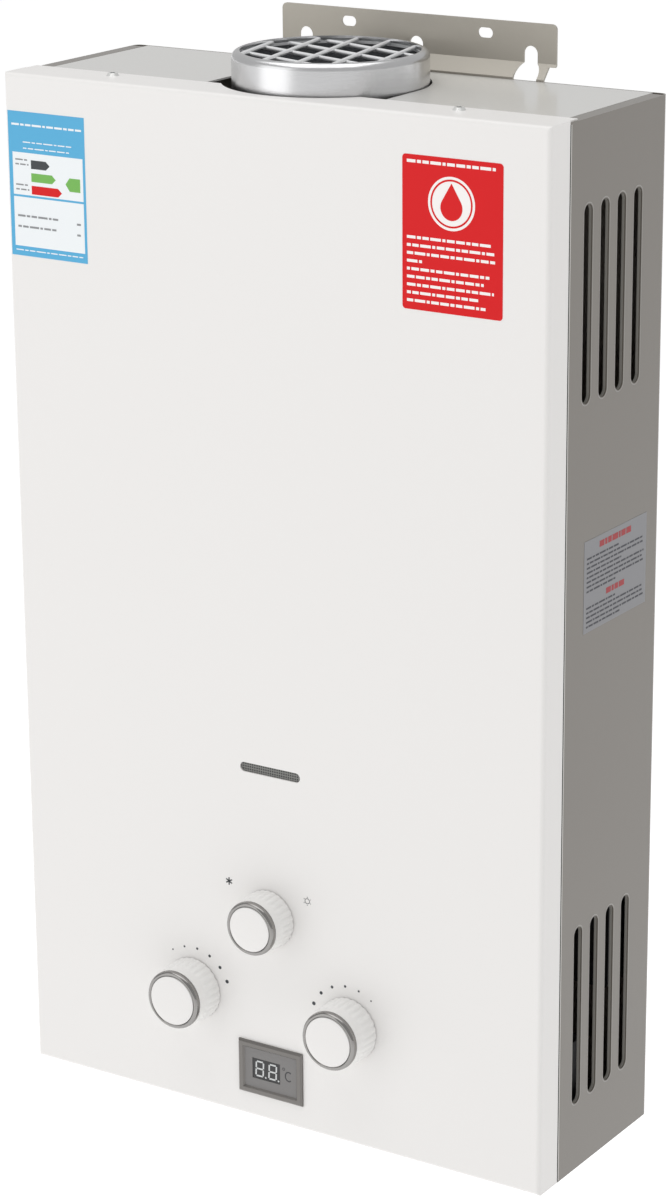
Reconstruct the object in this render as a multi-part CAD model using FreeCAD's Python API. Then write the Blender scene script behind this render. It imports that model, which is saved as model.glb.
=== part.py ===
import FreeCAD, Part
import math
import os

# Wall-hung gas water heater. Millimetres, +X right, +Y towards the wall, +Z up.
# Heights are worked out from the casing's bottom edge and depths from the wall plane.
# At the end everything is moved so that the origin lies on the hanger's wall face.

V = FreeCAD.Vector
X_AXIS = V(1, 0, 0)
Y_AXIS = V(0, 1, 0)
Z_AXIS = V(0, 0, 1)

# Casing
CASE_WIDTH = 345.0
CASE_DEPTH = 125.0
CASE_HEIGHT = 590.0
WALL_GAP = 8.0
SHEET = 1.0
SEAM = 0.4
BACK_CORNER_RADIUS = 4.0
COVER_CORNER_RADIUS = 2.5
COVER_SIDE_RETURN = 20.0
COVER_TOP_RETURN = 29.0
SHELL_TOP_FLANGE = 8.0
LIP_LENGTH = 14.0
LIP_FOOT = 14.0
FLANGE_END_GAP = 4.0
TOP_PLATE_SETBACK = 12.0
TOP_PLATE_FLANGE = 8.0
BOTTOM_PLATE_SETBACK = 5.0
BOTTOM_LIP_HEIGHT = 11.0
BOTTOM_LIP_INSET = 6.0

BACK_Y = -WALL_GAP
FRONT_Y = BACK_Y - CASE_DEPTH
INNER_BACK_Y = BACK_Y - SHEET
INNER_FRONT_Y = FRONT_Y + SHEET
HALF_WIDTH = CASE_WIDTH / 2
INNER_HALF = HALF_WIDTH - SHEET
SHELL_TOP = CASE_HEIGHT - SHEET
SHELL_FRONT_Y = FRONT_Y + COVER_SIDE_RETURN + SEAM
LIP_OUTER_X = INNER_HALF - SEAM

# Side vents
VENT_COUNT = 4
VENT_PITCH = 17.8
VENT_LENGTH = 105.5
VENT_WIDTH = 9.0
VENT_FIRST_Y = -39.6
UPPER_VENT_Z = 492.0
LOWER_VENT_Z = 93.0

# Wall hanger
HANGER_X = 12.5
HANGER_WIDTH = 176.8
HANGER_SHEET = 1.2
HANGER_TOP = CASE_HEIGHT + 29.0
HANGER_PLATE_BOTTOM = CASE_HEIGHT + 7.0
HANGER_FOOT_DEPTH = 30.0
HANGER_NECK_INSET = 4.0
HANGER_CORNER_RADIUS = 3.0
KEYHOLE_PITCH = 72.5
KEYHOLE_WIDTH = 8.6
KEYHOLE_TOP = CASE_HEIGHT + 16.6
KEYHOLE_HEAD_RADIUS = 7.5
OBLONG_OFFSET = 44.0
OBLONG_LENGTH = 9.4
OBLONG_HEIGHT = 5.6
OBLONG_Z = CASE_HEIGHT + 21.6
ORIGIN_Z = CASE_HEIGHT + 15.0
RIVET_RADIUS = 1.6
RIVET_X = 60.0

# Standoff pads pressed into the back sheet
PAD_X = 125.0
PAD_Z = 45.0
PAD_RADIUS = 13.0
PAD_HOLE_RADIUS = 3.0

# Flue
FLUE_X = -1.0
FLUE_Y = -67.0
COLLAR_RADIUS = 53.5
COLLAR_WALL = 1.2
COLLAR_TOP = CASE_HEIGHT + 17.0
COLLAR_BOTTOM = CASE_HEIGHT - 30.0
COLLAR_RIM_RADIUS = 3.0
COLLAR_LIP = 1.6
GRILLE_THICKNESS = 1.5
GRILLE_RING = 3.0
GRILLE_BAR = 2.6
GRILLE_PITCH = 20.0
GRILLE_ANGLES = (102.0, -18.0)
GRILLE_OFFSETS = (3.5, 10.0)
SLOT_X = -3.0
SLOT_Y = -68.0
SLOT_RADIUS = 57.0
NECK_CLEARANCE = 0.3
HOOD_SKIRT = 40.0
HOOD_NECK_GAP = 6.0
HOOD_SHOULDER = 2.0
HOOD_OVERLAP = 18.0

# Front panel
PANEL_X = -4.0
KNOB_SPREAD = 53.0
KNOB_Z = 71.0
SEASON_Z = 126.0
KNOB_RADIUS = 17.3
KNOB_BASE_RADIUS = 18.6
KNOB_HEIGHT = 22.0
SEASON_RADIUS = 15.8
SEASON_BASE_RADIUS = 16.9
SEASON_HEIGHT = 20.0
KNOB_GAP = 0.5
KNOB_RIBS = 28
RIB_DEPTH = 0.9
RIB_CREST_END = 0.55
RIB_ROOT_START = 0.65
RIB_ROOT_END = 0.9
RIBBED_SHARE = 0.55
RING_DEPTH = 3.6
RING_WIDTH = 2.6
RING_LIP = 0.3
RING_FIT = 0.05
SPINDLE_COVER = 4.4
SPINDLE_RADIUS = 4.0
SPINDLE_FLAT = 1.2
SPINDLE_CLEARANCE = 0.05
SPINDLE_END_GAP = 0.3
SPINDLE_SEAT = 8.0
SHAFT_HOLE_RADIUS = 9.0
WINDOW_X = -2.0
WINDOW_Z = 214.0
WINDOW_LENGTH = 40.0
WINDOW_WIDTH = 5.6
MESH_MARGIN = 5.0
MESH_THICKNESS = 0.8
DISPLAY_X = -3.8
DISPLAY_Z = 31.3
DISPLAY_WIDTH = 43.6
DISPLAY_HEIGHT = 32.4
DISPLAY_BEVEL = 4.2
DISPLAY_PROUD = 2.0
DISPLAY_BODY_INSET = 2.0
DISPLAY_BODY_DEPTH = 9.0
DISPLAY_CHAMFER = 1.0
DISPLAY_FACE_DEPTH = 1.2
DISPLAY_WELL_STEP = 1.0
DISPLAY_FACE_THICKNESS = 1.6
GLASS_SETBACK = 0.3
MODULE_OVERHANG = 3.0
MODULE_FLANGE = 3.0
LCD_X = -6.8
LCD_WIDTH = 19.0
LCD_HEIGHT = 12.6
COVER_SCREW_SPREAD = 110.0
COVER_SCREW_Y = FRONT_Y + 20.5
SCREW_HEAD_RADIUS = 3.6
SCREW_HEAD_HEIGHT = 1.6
SCREW_HEAD_TAPER = 0.7
SCREW_SHANK_RADIUS = 1.9
SCREW_HOLE_CLEARANCE = 0.1
SCREW_LENGTH = 9.0

# Burner and exchanger
EXCHANGER_X = FLUE_X
EXCHANGER_WIDTH = 224.0
EXCHANGER_FRONT_Y = -112.0
EXCHANGER_BACK_Y = -24.0
JACKET_BOTTOM = 232.0
JACKET_CORNER = 4.0
JACKET_BRACKET_DROP = 8.0
JACKET_BRACKET_SHEET = 2.0
JACKET_BRACKET_LEG = 16.0
JACKET_BRACKET_INSET = 30.0
FINS_BOTTOM = 400.0
FINS_TOP = 440.0
FIN_COUNT = 12
FIN_THICKNESS = 0.8
TUBE_RADIUS = 6.0
TUBE_GAP = 0.4
TUBE_Z = 420.0
TUBE_WALL = 1.0
PASS_COUNT = 3
PASS_PITCH = 26.0
COIL_START_Z = JACKET_BOTTOM + 16.0
COIL_RISE = 30.0
COIL_SWING = 5.0
HOT_DROP = 24.0
PIPE_Y = -62.0
BURNER_WIDTH = 198.0
BURNER_BOTTOM = 150.0
BURNER_TOP = 205.0
BURNER_COUNT = 9
BURNER_PITCH = 20.0
BURNER_SHEET = 1.5
BURNER_RAIL = 10.0
BURNER_FRONT_GAP = 4.5
BURNER_REAR_GAP = 3.5
BURNER_TOP_GAP = 2.0
BURNER_HALF_WIDTH = 6.5
BURNER_WAIST = 3.0
BURNER_HEAD = 5.0
BURNER_PORT_HALF = 2.0
BURNER_PORT_DEPTH = 3.0
BURNER_PORT_END = 4.0
BRACKET_WIDTH = 20.0
BRACKET_HEIGHT = 20.0
ELECTRODE_X = 62.0
ELECTRODE_LEAD = 5.5
ELECTRODE_TAB = 16.0
ELECTRODE_HOLE = 6.2
ELECTRODE_SLEEVE = 6.0
ELECTRODE_COLLAR = 9.2
ELECTRODE_WIRE = 2.0
AIR_SLOT_HEIGHT = 9.0
AIR_SLOT_INSET = 8.0
MANIFOLD_SIZE = 11.0
MANIFOLD_Z = 165.5
NOZZLE_RADIUS = 2.5
NOZZLE_LENGTH = 6.5
MANIFOLD_GAP = 3.0
MANIFOLD_OVERHANG = 10.0
MANIFOLD_CHAMFER = 1.5
MANIFOLD_EAR_WIDTH = 8.0
MANIFOLD_EAR_DROP = 6.0
MANIFOLD_EAR_OVERLAP = 2.0

# Water and gas controls
VALVE_Y = -70.0
GAS_X = PANEL_X - KNOB_SPREAD
WATER_X = PANEL_X + KNOB_SPREAD
BOSS_RADIUS = 11.0
BOSS_FRONT_Y = -112.0
VALVE_FRONT_Y = -92.0
VALVE_BACK_Y = -50.0
GAS_LEFT = -92.0
GAS_RIGHT = -24.0
GAS_BOTTOM = 50.0
GAS_TOP = 92.0
SEAT_X = -38.0
SEAT_THICKNESS = 3.0
CHAMBER_LENGTH = 26.0
CHAMBER_SIZE = 24.0
SEAT_BORE = 12.0
GAS_BODY_CHAMFER = 3.0
CAP_THICKNESS = 5.0
CAP_HALF_DEPTH = 19.0
CAP_HALF_HEIGHT = 17.0
ARM_OFFSET = 17.0
ARM_HALF_DEPTH = 3.0
ARM_HALF_HEIGHT = 8.0
SPRING_SIZE = 14.0
SPRING_BORE = 10.0
SPRING_END_GAP = 0.2
ROD_RADIUS = 2.5
ROD_TRAVEL = 4.0
ROD_CLEARANCE = 0.05
DIAPHRAGM_X = 10.0
DIAPHRAGM_RADIUS = 27.0
DIAPHRAGM_ROOM = 20.0
DIAPHRAGM_PLATE_RADIUS = 12.0
DIAPHRAGM_THICKNESS = 1.5
DIAPHRAGM_COVER_DEPTH = 10.0
DIAPHRAGM_COVER_WALL = 4.0
DIAPHRAGM_PLATE_GAP = 0.3
WATER_DISH_WALL = 3.0
WATER_BODY_INSET = 2.0
WATER_BODY_CHAMFER = 4.0
SEASON_HALF_WIDTH = 18.0
SEASON_HALF_HEIGHT = 17.0
SEASON_BACK_Y = -56.0
SEASON_FOOT_HALF = 10.0
SEASON_FOOT_THICKNESS = 6.0
COIL_SIZE = 24.0
COIL_LENGTH = 30.0
COIL_FLANGE_SIZE = 30.0
COIL_FLANGE = 4.0
WATER_LEFT = 19.0
WATER_RIGHT = 80.0

ROD_COLLAR_X = -9.0
ROD_COLLAR_SIZE = 10.0
ROD_DISC_THICKNESS = 2.0
SEAT_GAP = 0.2
VALVE_DISC_SIZE = 18.0
VALVE_DISC_THICKNESS = 3.0
DIAPHRAGM_PLATE_LEAD = 0.3
LEVER_X = -10.2
LEVER_SHEET = 1.0
LEVER_HALF_WIDTH = 3.3
LEVER_FOOT_GAP = 3.4
LEVER_TOP = 2.0
LEVER_PIVOT_Z = 96.0
LEVER_PIN_RADIUS = 0.9
LEVER_PIN_REACH = 5.0
SWITCH_LEFT = -32.0
SWITCH_RIGHT = -13.0
SWITCH_HEIGHT = 11.0
CHEEK_RIGHT = -7.0
CHEEK_THICKNESS = 1.4
CHEEK_HEIGHT = 8.0

# Pipe ends below the casing
THREAD_RADIUS = 10.48
THREAD_LENGTH = 22.0
PIPE_BORE_RADIUS = 7.5
PIPE_BORE_ROOF = 6.0
THREAD_HOLE_GAP = 1.0
THREAD_FIT = 0.05
THREAD_TOP = -8.0
LOCK_NUT_HEIGHT = 5.0
HEX_ACROSS_FLATS = 27.0
HEX_HEIGHT = 7.0
HOT_X = -142.0
GAS_IN_X = GAS_X
COLD_X = 62.0
PLATE_TOP = 2.0 * SHEET

# Pipes inside the casing
WATER_OUT_Z = 81.0
HOT_BEND_TOP = 150.0
HOT_BEND_LOW = 112.0
HOT_TOP = 46.0
UNION_ACROSS_FLATS = 18.0
UNION_HEIGHT = 12.0
UNION_GAP = 4.0
GAS_TUBE_RADIUS = 4.0
GAS_PIPE_INSET = 16.0
GAS_PIPE_SETBACK = 9.0
MANIFOLD_PIPE_LEAD = 6.0

# Igniter and heat switch
IGNITER_SIDE_GAP = 5.5
IGNITER_WIDTH = 38.0
IGNITER_DEPTH = 37.0
IGNITER_HEIGHT = 90.0
IGNITER_Z = 90.0
IGNITER_CORNER_RADIUS = 3.0
HEAT_SWITCH_X = EXCHANGER_X + 60.0
HEAT_SWITCH_DROP = 20.0
HEAT_SWITCH_DISC = 16.0
HEAT_SWITCH_HEAD = 10.0
HEAT_SWITCH_STEP = 5.0
HEAT_SWITCH_DEPTH = 9.0

# Battery box
CELL_RADIUS = 17.1
CELL_LENGTH = 60.0
CELL_PITCH = 35.6
BATTERY_X = 126.0
BATTERY_Y = -88.0
BATTERY_WALL = 1.5
BATTERY_ROOM_X = 71.4
BATTERY_ROOM_Y = 35.6
BATTERY_ROOF = 68.0
DOOR_THICKNESS = 2.6
DOOR_PIN_RADIUS = 1.5
DOOR_PIN_Z = -3.4
DOOR_PIN_SETBACK = 3.5
DOOR_TOP = -1.4
DOOR_LUG_GAP = 0.4
DOOR_PIN_INSET = 0.6
DOOR_FRONT_LIP = 2.0
DOOR_BARREL_RADIUS = 2.0
RIM_WIDTH = 2.5
RIM_Z = -1.0
LUG_WIDTH = 3.0
LUG_REACH = 2.6
LUG_REAR = 2.0
CELL_SEAT_RADIUS = 5.0
CELL_CLEARANCE = 0.3
CELL_NUB_RADIUS = 4.8
CELL_NUB_HEIGHT = 1.5

ORIGIN = V(0, 0, ORIGIN_Z)


def box(x0, x1, y0, y1, z0, z1):
    """A box between two corners."""
    return Part.makeBox(x1 - x0, y1 - y0, z1 - z0, V(x0, y0, z0))


def rod(radius, start, end):
    """A round bar from one point to another."""
    along = end.sub(start)
    return Part.makeCylinder(radius, along.Length, start, along)


def ring(outer, inner, start, end):
    """A round tube from one point to another."""
    return rod(outer, start, end).cut(rod(inner, start, end))


def hexagon(across_flats, start, height):
    """A hexagonal prism that stands up from a point."""
    corner = across_flats / math.sqrt(3)
    points = [
        start + V(corner * math.cos(k * math.pi / 3), corner * math.sin(k * math.pi / 3), 0)
        for k in range(7)
    ]
    return Part.Face(Part.makePolygon(points)).extrude(V(0, 0, height))


def eight_sided(across_flats, start, end):
    """An eight-sided bar from one point to another along an axis."""
    along = end.sub(start)
    corner = across_flats / 2 / math.cos(math.pi / 8)
    first = Z_AXIS if abs(along.z) < 0.5 * along.Length else X_AXIS
    second = V(along).normalize().cross(first)
    points = []
    for k in range(8):
        angle = (k + 0.5) * math.pi / 4
        points.append(start + first * (corner * math.cos(angle)) + second * (corner * math.sin(angle)))
    return prism(points, along)


def prism(points, direction):
    """A closed outline of points, extruded."""
    return Part.Face(Part.makePolygon(points + points[:1])).extrude(direction)


def stadium_y(x, z, length, width, y0, y1):
    """A round-ended slot along X, cut through along Y."""
    reach = (length - width) / 2
    middle = box(x - reach, x + reach, y0, y1, z - width / 2, z + width / 2)
    ends = [rod(width / 2, V(x + s * reach, y0, z), V(x + s * reach, y1, z)) for s in (-1, 1)]
    return middle.multiFuse(ends).removeSplitter()


def stadium_x(y, z, length, width, x0, x1):
    """An upright round-ended slot, cut through along X."""
    reach = (length - width) / 2
    middle = box(x0, x1, y - width / 2, y + width / 2, z - reach, z + reach)
    ends = [rod(width / 2, V(x0, y, z + s * reach), V(x1, y, z + s * reach)) for s in (-1, 1)]
    return middle.multiFuse(ends).removeSplitter()


def join(first, *others):
    """Fuses pieces of one solid."""
    return first.multiFuse(list(others)).removeSplitter()


def cut(shape, *tools):
    """Takes every tool out of a shape."""
    return shape.cut(Part.makeCompound(list(tools)))


def bent_bar(points, radius):
    """An eight-sided bar along straight runs that meet in mitred corners."""
    along = points[1].sub(points[0])
    first = Z_AXIS if abs(along.z) < 0.5 * along.Length else X_AXIS
    second = V(along).normalize().cross(first)
    corners = []
    for k in range(9):
        angle = (k + 0.5) * math.pi / 4
        corners.append(
            points[0] + first * (radius * math.cos(angle)) + second * (radius * math.sin(angle))
        )
    return Part.makePolygon(points).makePipeShell([Part.makePolygon(corners)], True, False, 1)


def bent_tube(points, radius, wall):
    """A bent bar with its bore."""
    return bent_bar(points, radius).cut(bent_bar(points, radius - wall))


def case_slots(side):
    """Cutters for one side wall's vents."""
    cutters = []
    low, high = sorted((side * (HALF_WIDTH - 2 * SHEET), side * (HALF_WIDTH + SHEET)))
    for height in (UPPER_VENT_Z, LOWER_VENT_Z):
        for k in range(VENT_COUNT):
            y = VENT_FIRST_Y - k * VENT_PITCH
            cutters.append(stadium_x(y, height, VENT_LENGTH, VENT_WIDTH, low, high))
    return cutters


def pad_outer(x):
    """One standoff cup, drawn out of the back sheet."""
    return rod(PAD_RADIUS, V(x, INNER_BACK_Y, PAD_Z), V(x, 0, PAD_Z))


def pad_inner(x):
    """The hollow inside one standoff cup."""
    return rod(PAD_RADIUS - SHEET, V(x, INNER_BACK_Y - 1, PAD_Z), V(x, -SHEET, PAD_Z))


def back_shell():
    outer = box(-HALF_WIDTH, HALF_WIDTH, SHELL_FRONT_Y, BACK_Y, 0, SHELL_TOP)
    corners = [e for e in outer.Edges if is_upright(e) and e.CenterOfMass.y > SHELL_FRONT_Y + 1]
    outer = outer.makeFillet(BACK_CORNER_RADIUS, corners)
    inner = box(-INNER_HALF, INNER_HALF, SHELL_FRONT_Y - 1, INNER_BACK_Y, -1, SHELL_TOP + 1)
    corners = [e for e in inner.Edges if is_upright(e) and e.CenterOfMass.y > SHELL_FRONT_Y + 1]
    inner = inner.makeFillet(BACK_CORNER_RADIUS - SHEET, corners)
    shell = outer.cut(inner)
    additions = []
    cutters = []
    for side in (-1, 1):
        lip_outer = side * LIP_OUTER_X
        lip_inner = lip_outer - side * SHEET
        low, high = sorted((lip_inner, lip_outer))
        lip_front = SHELL_FRONT_Y - LIP_LENGTH
        lip_low, lip_high = PLATE_TOP + LIP_FOOT, SHELL_TOP - FLANGE_END_GAP
        additions.append(box(low, high, lip_front, SHELL_FRONT_Y + SHEET, lip_low, lip_high))
        low, high = sorted((lip_inner, side * HALF_WIDTH))
        additions.append(box(low, high, SHELL_FRONT_Y, SHELL_FRONT_Y + SHEET, lip_low, lip_high))
        low, high = sorted((side * (HALF_WIDTH - SHELL_TOP_FLANGE), side * INNER_HALF))
        rear = INNER_BACK_Y - FLANGE_END_GAP
        additions.append(box(low, high, SHELL_FRONT_Y, rear, SHELL_TOP - SHEET, SHELL_TOP))
        cutters += case_slots(side)
        additions.append(pad_outer(side * PAD_X))
        cutters.append(pad_inner(side * PAD_X))
        hole = rod(PAD_HOLE_RADIUS, V(side * PAD_X, BACK_Y, PAD_Z), V(side * PAD_X, 1, PAD_Z))
        cutters.append(hole)
    cutters += rivet_shapes(RIVET_RADIUS)
    return cut(join(shell, *additions), *cutters)


def is_upright(edge):
    return abs(edge.tangentAt(edge.FirstParameter).z) > 0.99


def rivet_places():
    z = CASE_HEIGHT - HANGER_FOOT_DEPTH / 2
    return [V(HANGER_X + k * RIVET_X - RIVET_X / 2, 0, z) for k in (-1, 0, 1, 2)]


def rivet_shapes(radius):
    """Shanks through the hanger's foot and the back sheet."""
    return [
        rod(radius, V(p.x, INNER_BACK_Y, p.z), V(p.x, BACK_Y + HANGER_SHEET, p.z))
        for p in rivet_places()
    ]


def hanger_rivets():
    solids = []
    for shank, p in zip(rivet_shapes(RIVET_RADIUS), rivet_places()):
        rear = V(p.x, BACK_Y + HANGER_SHEET, p.z)
        front = V(p.x, INNER_BACK_Y, p.z)
        head = rod(RIVET_RADIUS * 2, rear, rear + Y_AXIS)
        solids.append(join(shank, head))
    return Part.makeCompound(solids)


def wall_hanger():
    half = HANGER_WIDTH / 2
    foot_low = CASE_HEIGHT - HANGER_FOOT_DEPTH
    left = HANGER_X - half
    t = HANGER_SHEET
    outline = [
        (BACK_Y, foot_low), (BACK_Y + t, foot_low), (BACK_Y + t, CASE_HEIGHT - t / 2),
        (0, HANGER_PLATE_BOTTOM), (0, HANGER_TOP), (-t, HANGER_TOP),
        (-t, HANGER_PLATE_BOTTOM + t / 2), (BACK_Y, CASE_HEIGHT),
    ]
    strip = prism([V(left, y, z) for y, z in outline], V(HANGER_WIDTH, 0, 0))
    corners = [
        e for e in strip.Edges
        if e.CenterOfMass.z > HANGER_TOP - 0.1 and abs(e.tangentAt(0).y) > 0.99
    ]
    strip = strip.makeFillet(HANGER_CORNER_RADIUS, corners)
    cutters = []
    for side in (-1, 1):
        edge = HANGER_X + side * half
        low, high = sorted((edge - side * HANGER_NECK_INSET, edge + side))
        cutters.append(box(low, high, BACK_Y - 1, 1, foot_low - 1, HANGER_PLATE_BOTTOM - 1))
        x = HANGER_X + side * OBLONG_OFFSET
        cutters.append(stadium_y(x, OBLONG_Z, OBLONG_LENGTH, OBLONG_HEIGHT, -2 * t, 1))
    for k in (-1, 0, 1):
        x = HANGER_X + k * KEYHOLE_PITCH
        r = KEYHOLE_WIDTH / 2
        top = KEYHOLE_TOP - r
        cutters.append(rod(r, V(x, BACK_Y - 1, top), V(x, 1, top)))
        cutters.append(box(x - r, x + r, BACK_Y - 1, 1, CASE_HEIGHT, top))
        middle = CASE_HEIGHT + t
        cutters.append(rod(KEYHOLE_HEAD_RADIUS, V(x, BACK_Y - 1, middle), V(x, 1, middle)))
    cutters += rivet_shapes(RIVET_RADIUS)
    return cut(strip, *cutters)


def top_plate():
    half = HALF_WIDTH - SHELL_TOP_FLANGE - SEAM
    front = FRONT_Y + TOP_PLATE_SETBACK
    rear = INNER_BACK_Y - SEAM
    z = SHELL_TOP
    plate = box(-half, half, front, rear, z - SHEET, z)
    lips = []
    for side in (-1, 1):
        low, high = sorted((side * (half - SHEET), side * (INNER_HALF - SEAM)))
        lips.append(box(low, high, SHELL_FRONT_Y, rear - FLANGE_END_GAP, z - 2 * SHEET, z - SHEET))
    rear_flange = box(-half, half, rear - SHEET, rear, z - SHEET - TOP_PLATE_FLANGE, z - SHEET)
    plate = join(plate, rear_flange, *lips)
    slot = join(
        rod(SLOT_RADIUS, V(SLOT_X, SLOT_Y, z - 20), V(SLOT_X, SLOT_Y, z + 1)),
        box(SLOT_X - SLOT_RADIUS, SLOT_X + SLOT_RADIUS, front - 1, SLOT_Y, z - 20, z + 1),
    )
    holes = screw_holes(True)
    return cut(plate, slot, *holes)


def screw_places():
    """Points under the four heads of the screws that hold the cover."""
    places = []
    for side in (-1, 1):
        x = SLOT_X + side * COVER_SCREW_SPREAD
        places.append((V(x, COVER_SCREW_Y, CASE_HEIGHT), 1))
        places.append((V(x, FRONT_Y + COVER_SIDE_RETURN / 2, 0), -1))
    return places


def screw_holes(top):
    r = SCREW_SHANK_RADIUS + SCREW_HOLE_CLEARANCE
    return [
        rod(r, p + V(0, 0, 3 * up), p - V(0, 0, 14 * up))
        for p, up in screw_places() if (up > 0) == top
    ]


def cover_screws():
    solids = []
    for p, up in screw_places():
        head = Part.makeCone(
            SCREW_HEAD_RADIUS, SCREW_HEAD_RADIUS * SCREW_HEAD_TAPER, SCREW_HEAD_HEIGHT, p, V(0, 0, up)
        )
        shank = rod(SCREW_SHANK_RADIUS, p, p - V(0, 0, SCREW_LENGTH * up))
        solids.append(join(head, shank))
    return Part.makeCompound(solids)


def bottom_plate():
    half = INNER_HALF - SEAM / 2
    front = INNER_FRONT_Y + BOTTOM_PLATE_SETBACK
    lip_top = PLATE_TOP + BOTTOM_LIP_HEIGHT
    inset = BOTTOM_LIP_INSET
    rear = INNER_BACK_Y
    front_half = LIP_OUTER_X - SHEET - SEAM
    floor = box(-half, half, SHELL_FRONT_Y + SHEET + SEAM, rear, SHEET, PLATE_TOP)
    corners = [e for e in floor.Edges if is_upright(e) and e.CenterOfMass.y > rear - 1]
    plate = join(
        floor.makeFillet(BACK_CORNER_RADIUS, corners),
        box(-front_half, front_half, front, SHELL_FRONT_Y + 4, SHEET, PLATE_TOP),
        box(-front_half, front_half, front, front + SHEET, SHEET, lip_top),
        box(-half + inset, half - inset, rear - SHEET, rear, SHEET, lip_top),
        box(-half, SHEET - half, SHELL_FRONT_Y + inset, rear - inset, SHEET, lip_top),
        box(half - SHEET, half, SHELL_FRONT_Y + inset, rear - inset, SHEET, lip_top),
    )
    cutters = [
        rod(THREAD_RADIUS + THREAD_HOLE_GAP, V(x, VALVE_Y, 0), V(x, VALVE_Y, 5))
        for x in (HOT_X, GAS_IN_X, COLD_X)
    ]
    room_x = BATTERY_ROOM_X / 2 + BATTERY_WALL + SEAM
    room_y = BATTERY_ROOM_Y / 2 + BATTERY_WALL + SEAM
    cutters.append(box(
        BATTERY_X - room_x, BATTERY_X + room_x,
        BATTERY_Y - room_y, BATTERY_Y + room_y, 0, 5,
    ))
    return cut(plate, *cutters, *screw_holes(False))


def front_cover():
    depth = COVER_TOP_RETURN
    outer = box(-HALF_WIDTH, HALF_WIDTH, FRONT_Y, FRONT_Y + depth, 0, CASE_HEIGHT)
    front_edges = [e for e in outer.Edges if e.CenterOfMass.y < FRONT_Y + 0.1]
    outer = outer.makeFillet(COVER_CORNER_RADIUS, front_edges)
    inner = box(-INNER_HALF, INNER_HALF, INNER_FRONT_Y, FRONT_Y + depth + 5, SHEET, CASE_HEIGHT - SHEET)
    front_edges = [e for e in inner.Edges if e.CenterOfMass.y < INNER_FRONT_Y + 0.1]
    inner = inner.makeFillet(COVER_CORNER_RADIUS - SHEET, front_edges)
    cover = outer.cut(inner)
    low_y = FRONT_Y + COVER_SIDE_RETURN
    high_y = FRONT_Y + depth + 1
    trims = [
        box(-HALF_WIDTH - 1, HALF_WIDTH + 1, low_y, high_y, -1, CASE_HEIGHT - SHEET),
        box(-HALF_WIDTH - 1, -INNER_HALF, low_y, high_y, -1, CASE_HEIGHT + 1),
        box(INNER_HALF, HALF_WIDTH + 1, low_y, high_y, -1, CASE_HEIGHT + 1),
    ]
    arc = rod(SLOT_RADIUS, V(SLOT_X, SLOT_Y, CASE_HEIGHT - 3), V(SLOT_X, SLOT_Y, CASE_HEIGHT + 3))
    window = stadium_y(WINDOW_X, WINDOW_Z, WINDOW_LENGTH, WINDOW_WIDTH, FRONT_Y - 1, INNER_FRONT_Y + 1)
    shafts = [
        rod(SHAFT_HOLE_RADIUS, V(x, FRONT_Y - 1, z), V(x, INNER_FRONT_Y + 1, z))
        for x, z in ((GAS_X, KNOB_Z), (WATER_X, KNOB_Z), (PANEL_X, SEASON_Z))
    ]
    inset = DISPLAY_BODY_INSET - SEAM
    half_x = DISPLAY_WIDTH / 2 - inset
    half_z = DISPLAY_HEIGHT / 2 - inset
    display = box(
        DISPLAY_X - half_x, DISPLAY_X + half_x, FRONT_Y - 1, INNER_FRONT_Y + 1,
        DISPLAY_Z - half_z, DISPLAY_Z + half_z,
    )
    holes = screw_holes(True) + screw_holes(False)
    return cut(cover, *trims, arc, window, display, *shafts, *holes)


def window_mesh():
    margin = MESH_MARGIN
    return box(
        WINDOW_X - WINDOW_LENGTH / 2 - margin, WINDOW_X + WINDOW_LENGTH / 2 + margin,
        INNER_FRONT_Y, INNER_FRONT_Y + MESH_THICKNESS,
        WINDOW_Z - WINDOW_WIDTH / 2 - margin, WINDOW_Z + WINDOW_WIDTH / 2 + margin,
    )


def display_parts():
    """Bezel, face, dark glass and the module behind them."""
    x, z = DISPLAY_X, DISPLAY_Z
    hx, hz = DISPLAY_WIDTH / 2, DISPLAY_HEIGHT / 2
    front = FRONT_Y - DISPLAY_PROUD
    body_x, body_z = hx - DISPLAY_BODY_INSET, hz - DISPLAY_BODY_INSET
    body_rear = FRONT_Y + DISPLAY_BODY_DEPTH
    flange = box(x - hx, x + hx, front, FRONT_Y, z - hz, z + hz)
    front_edges = [e for e in flange.Edges if e.CenterOfMass.y < front + 0.1]
    flange = flange.makeChamfer(DISPLAY_CHAMFER, front_edges)
    body = box(x - body_x, x + body_x, FRONT_Y, body_rear, z - body_z, z + body_z)
    face_x, face_z = hx - DISPLAY_BEVEL, hz - DISPLAY_BEVEL
    face_y = front + DISPLAY_FACE_DEPTH
    face_rear = face_y + DISPLAY_FACE_THICKNESS
    outer_wire = rectangle(x, z, face_x + DISPLAY_WELL_STEP, face_z + DISPLAY_WELL_STEP, front)
    inner_wire = rectangle(x, z, face_x, face_z, face_y)
    mouth = Part.makeLoft([outer_wire, inner_wire], True, True)
    well = box(x - face_x, x + face_x, face_y, body_rear + 1, z - face_z, z + face_z)
    bezel = cut(join(flange, body), mouth, well)
    left, right = LCD_X - LCD_WIDTH / 2, LCD_X + LCD_WIDTH / 2
    low, high = z - LCD_HEIGHT / 2, z + LCD_HEIGHT / 2
    plate = box(x - face_x, x + face_x, face_y, face_rear, z - face_z, z + face_z)
    face = plate.cut(box(left, right, face_y - 1, face_rear + 1, low, high))
    glass = box(left, right, face_y + GLASS_SETBACK, face_rear, low, high)
    edge = body_x + MODULE_OVERHANG
    module = join(
        box(x - face_x, x + face_x, face_rear, body_rear, z - face_z, z + face_z),
        box(x - edge, x + edge, body_rear, body_rear + MODULE_FLANGE, z - body_z, z + body_z),
    )
    return bezel, face, glass, module


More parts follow.
